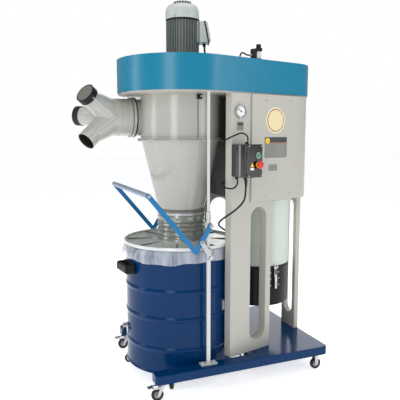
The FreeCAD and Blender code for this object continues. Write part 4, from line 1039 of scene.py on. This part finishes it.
def build_filter():
    """Pleated filter, its end rings and the pan below it."""
    low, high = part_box("filter_cartridge")
    radius = (high.x - low.x) / 2
    shape = bmesh.new()
    outline = []
    for index in range(PLEATS * POINTS_PER_PLEAT):
        angle = 2 * math.pi * index / (PLEATS * POINTS_PER_PLEAT)
        reach = radius - 0.0022 + 0.0006 * math.cos(2 * math.pi * index / POINTS_PER_PLEAT)
        outline.append((reach * math.cos(angle), reach * math.sin(angle)))
    rings = [[shape.verts.new((FILTER.x + x, FILTER.y + y, z)) for x, y in outline]
             for z in (low.z + 0.012, high.z - 0.014)]
    bridge(shape, list(zip(*rings)))
    pleats = piece("filter_pleats", shape, "filter_media", "root", sharp=180)
    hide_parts("filter_cartridge")
    inside = radius - 0.030
    turned("filter_ring_bottom", band(inside, radius, low.z, low.z + 0.014, 0.002),
           "black_matte", "root", FILTER, steps=128)
    turned("filter_ring_top", band(inside, radius, high.z - 0.016, high.z, 0.002), "cowl_grey",
           "root", FILTER, steps=128)
    turned("filter_core", [(inside, low.z), (radius - 0.028, low.z), (radius - 0.028, high.z),
                           (inside, high.z)], "zinc", "root", FILTER)
    low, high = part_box("filter_pan")
    outer = rounded([(0, low.z), (radius - 0.004, low.z), (radius, low.z + 0.006),
                     (radius - 0.0005, high.z - 0.010), (radius, high.z - 0.006),
                     (radius, high.z), (radius - 0.003, high.z), (radius - 0.003, low.z + 0.003),
                     (0, low.z + 0.003)], 0.003)
    pan = turned("filter_pan_spun", outer, "pan_black", "filter_pan", FILTER, steps=128)
    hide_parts("filter_pan")
    for name in ("front", "rear"):
        build_pan_latch(name, radius)


def build_pan_latch(name, radius):
    """An over-centre latch of the pan, with the rivets beside it."""
    pivot = Vector(JOINTS["pan_latch_" + name]["pos_m"])
    out = flat_of(pivot - FILTER).normalized()
    for part, profile, round_by, depth, look, reach, bevel in (
        ("lever", [(-0.0065, -0.128), (0.0065, -0.128), (0.0085, -0.060), (-0.0085, -0.060)],
         0.006, 0.005, "zinc", 0.001, 0.0015),
        ("loop", [(-0.0085, -0.070), (0.0085, -0.070), (0.0085, 0.003), (-0.0085, 0.003)],
         0.007, 0.004, "steel", -0.0015, 0.0015),
        ("window", [(-0.005, -0.045), (0.005, -0.045), (0.005, -0.010), (-0.005, -0.010)],
         0.005, 0.0005, "black_matte", 0.0026, 0.0),
    ):
        facing("latch_%s_%s" % (part, name), rounded(profile, round_by, closed=True),
                            depth, look, "latch_" + name, pivot + out * reach, out, bevel)
    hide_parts("pan_latch_" + name)
    spots = [(sign, z) for sign in (-1, 1) for z in (0.470, 0.510, 0.545)]
    for number, (sign, z) in enumerate(spots):
        way = Matrix.Rotation(sign * RIVET_TURN, 3, "Z") @ out
        studs("pan_rivet_%s_%d" % (name, number), [FILTER + way * radius + UP * z], way, 0.003,
              0.002, "zinc", "filter_pan", sides=16)


# ---------------------------------------------------------------- casters and lever

def build_wheels():
    """Tyre and hub for every caster."""
    for name in [n for n in NODES if "caster_wheel" in n]:
        body = NODES[name]["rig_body"]
        joint = [j for j in JOINTS.values() if j["child"] == body][0]
        axis = Vector(joint["axis"])
        low, high = span(name, axis)
        centre = middle(name)
        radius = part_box(name)[1].z - centre.z
        half = (high - low) / 2
        tyre = [(0.62, -0.8), (0.85, -1), (1, -0.62), (1, 0.62), (0.85, 1), (0.62, 0.8)]
        tyre = rounded([(radius * r, half * h) for r, h in tyre], radius * 0.12, closed=True)
        made = turned(name + "_tyre", tyre, "rubber", body, centre, axis, steps=56)
        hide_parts(name)
        hub = rounded([(0.0041, -half * 0.92), (radius * 0.30, -half * 0.92),
                       (radius * 0.36, -half * 0.55), (radius * 0.63, -half * 0.55),
                       (radius * 0.63, half * 0.55), (radius * 0.36, half * 0.55),
                       (radius * 0.30, half * 0.92), (0.0041, half * 0.92)], 0.0015, closed=True)
        turned(name + "_hub", hub, "hub_grey", body, centre, axis, steps=40)


LEVER_PIVOT_HEIGHT = 0.881


def build_lever_details():
    """Handle tube and bolts on the lever and its links."""
    low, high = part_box("lift_lever")
    bar_x = low.x + 0.0125
    bar_z = high.z - 0.0125
    mid_y = (low.y + high.y) / 2
    arm = POST["rear"].y + 0.016 - mid_y
    half = arm - 0.008
    turned("handle_sleeve", band(0.0118, 0.0135, -half, half, 0.0012), "sleeve_grey", "lever",
           Vector((bar_x, mid_y, bar_z)), BACK, steps=40)
    for side, name in ((-1, "front"), (1, "rear")):
        out = side * BACK
        studs("handle_bolt_" + name, [Vector((bar_x, mid_y + side * (arm + 0.004), bar_z))], out,
              0.0065, 0.004, "zinc", "lever")
        post = POST[name]
        pivot = Vector((post.x + 0.005, post.y + side * 0.026, LEVER_PIVOT_HEIGHT))
        studs("lever_pivot_" + name, [pivot], out, 0.009, 0.006, "zinc", "root")


# ---------------------------------------------------------------- regulator

def build_regulator():
    """Air filter and regulator: blocks, clear bowl and inlet fitting."""
    low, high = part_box("air_regulator")
    foot = Vector((low.x + 0.034, (low.y + high.y) / 2, low.z))
    for name, x, z, wide, tall, deep in (("foot", 0.006, 0.004, 0.060, 0.0078, 0.036),
                                         ("body", -0.007, 0.033, 0.026, 0.049, 0.028),
                                         ("head", 0.0215, 0.055, 0.032, 0.017, 0.030)):
        made = plate("regulator_" + name, rectangle(wide, tall, 0.003), deep, "black_matte",
                     "root", foot + Vector((x, deep / 2, z)), RIGHT, UP, 0.002)
        if name == "foot":
            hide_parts("air_regulator")
    bowl = rounded([(0, 0.009), (0.012, 0.009), (0.0148, 0.016), (0.0148, 0.047), (0, 0.047)],
                   0.004)
    turned("regulator_bowl", bowl, "clear_bowl", "root", foot + RIGHT * 0.022, steps=40)
    turned("regulator_inlet", rounded([(0, 0), (0.005, 0), (0.005, 0.012), (0.007, 0.013),
                                       (0.007, 0.020), (0, 0.020)], 0.001),
           "zinc", "root", foot + Vector((-0.034, 0, 0.024)), RIGHT, steps=24)


# ---------------------------------------------------------------- mains cord

# Route of the mains cord in the tower's own millimetres: gland, down behind the front
# column, under the base to the coil, and the tail from the coil to the plug
CORD_ROUTE = [
    (212.4, -381.2, 1109.8), (212.4, -381.2, 1058), (200, -391, 1000), (148, -378, 950),
    (100, -330, 905), (104, -270, 868), (152, -228, 836), (214, -225, 797),
    (248, -228, 708), (255, -230, 590), (251, -228, 460), (256, -231, 330),
    (253, -228, 215), (258, -226, 128), (288, -210, 58), (344, -184, 16), (414, -170, 5.5),
]
CORD_TAIL = [(460, -172, 40), (497, -168, 24), (530, -160, 16)]
PLAN_CENTRE = Vector((112.8, -31.8, 0))
CORD_D = 0.010
COIL_TURNS, POINTS_PER_TURN = 5, 16
COIL_RISE = 0.98                   # of one cord's thickness, per turn


def from_tower(point):
    """Tower millimetres to the row's metres."""
    return (Vector(point) - PLAN_CENTRE) / 1000


def build_mains_cord():
    """Mains cord: its run, its coil under the base and its plug."""
    low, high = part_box("mains_coil")
    centre = (low + high) / 2
    mid = (high.x - low.x) / 2 - CORD_D / 2
    route = [from_tower(p) for p in CORD_ROUTE]
    for step in range(1, COIL_TURNS * POINTS_PER_TURN + 1):
        turn = step / POINTS_PER_TURN
        angle = 2 * math.pi * turn - math.pi / 2
        climb = CORD_D * COIL_RISE * min(turn, COIL_TURNS - 1)
        route.append(Vector((centre.x + mid * math.cos(angle), centre.y + mid * math.sin(angle),
                             low.z + 0.0052 + climb)))
    route += [from_tower(p) for p in CORD_TAIL]
    cord = wire("mains_cord_line", route, CORD_D / 2, "rubber", "root")
    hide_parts("mains_cord", "mains_coil")
    exit_point, end = route[0], route[-1]
    relief = turned("mains_strain_relief",
                    rounded([(0.0052, -0.034), (0.0060, -0.034), (0.0085, -0.004),
                             (0.0085, 0.002), (0.0052, 0.002)], 0.001, closed=True),
                    "rubber", "root", exit_point, UP, steps=32)
    body = rounded([(0.0052, -0.020), (0.0065, -0.020), (0.0085, 0.000), (0.0150, 0.006),
                    (0.0150, 0.030), (0.0135, 0.038), (0, 0.038), (0, 0.001), (0.0052, 0.001)],
                   0.002)
    plug = turned("mains_plug_body", body, "black_matte", "root", end, RIGHT, steps=40)
    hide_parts("mains_plug")
    pin = rounded([(0, 0), (0.003, 0), (0.003, 0.016), (0.002, 0.019), (0, 0.019)], 0.001)
    pins = [turned("plug_pin_%d" % index, pin, "brass", "root", end + Vector((0.037, y, z)),
                   RIGHT, steps=20)
            for index, (y, z) in enumerate(((-0.008, -0.005), (0.008, -0.005), (0, 0.008)))]


def main():
    """Builds everything around the frame."""
    build_stage()
    paint_cad()
    build_drum()
    build_liner()
    build_lid()
    build_hose()
    build_motor()
    build_wye()
    build_cyclone_details()
    build_switch_box()
    build_gauge()
    build_plates()
    build_panel_details()
    build_filter()
    build_wheels()
    build_lever_details()
    build_regulator()
    build_mains_cord()


main()
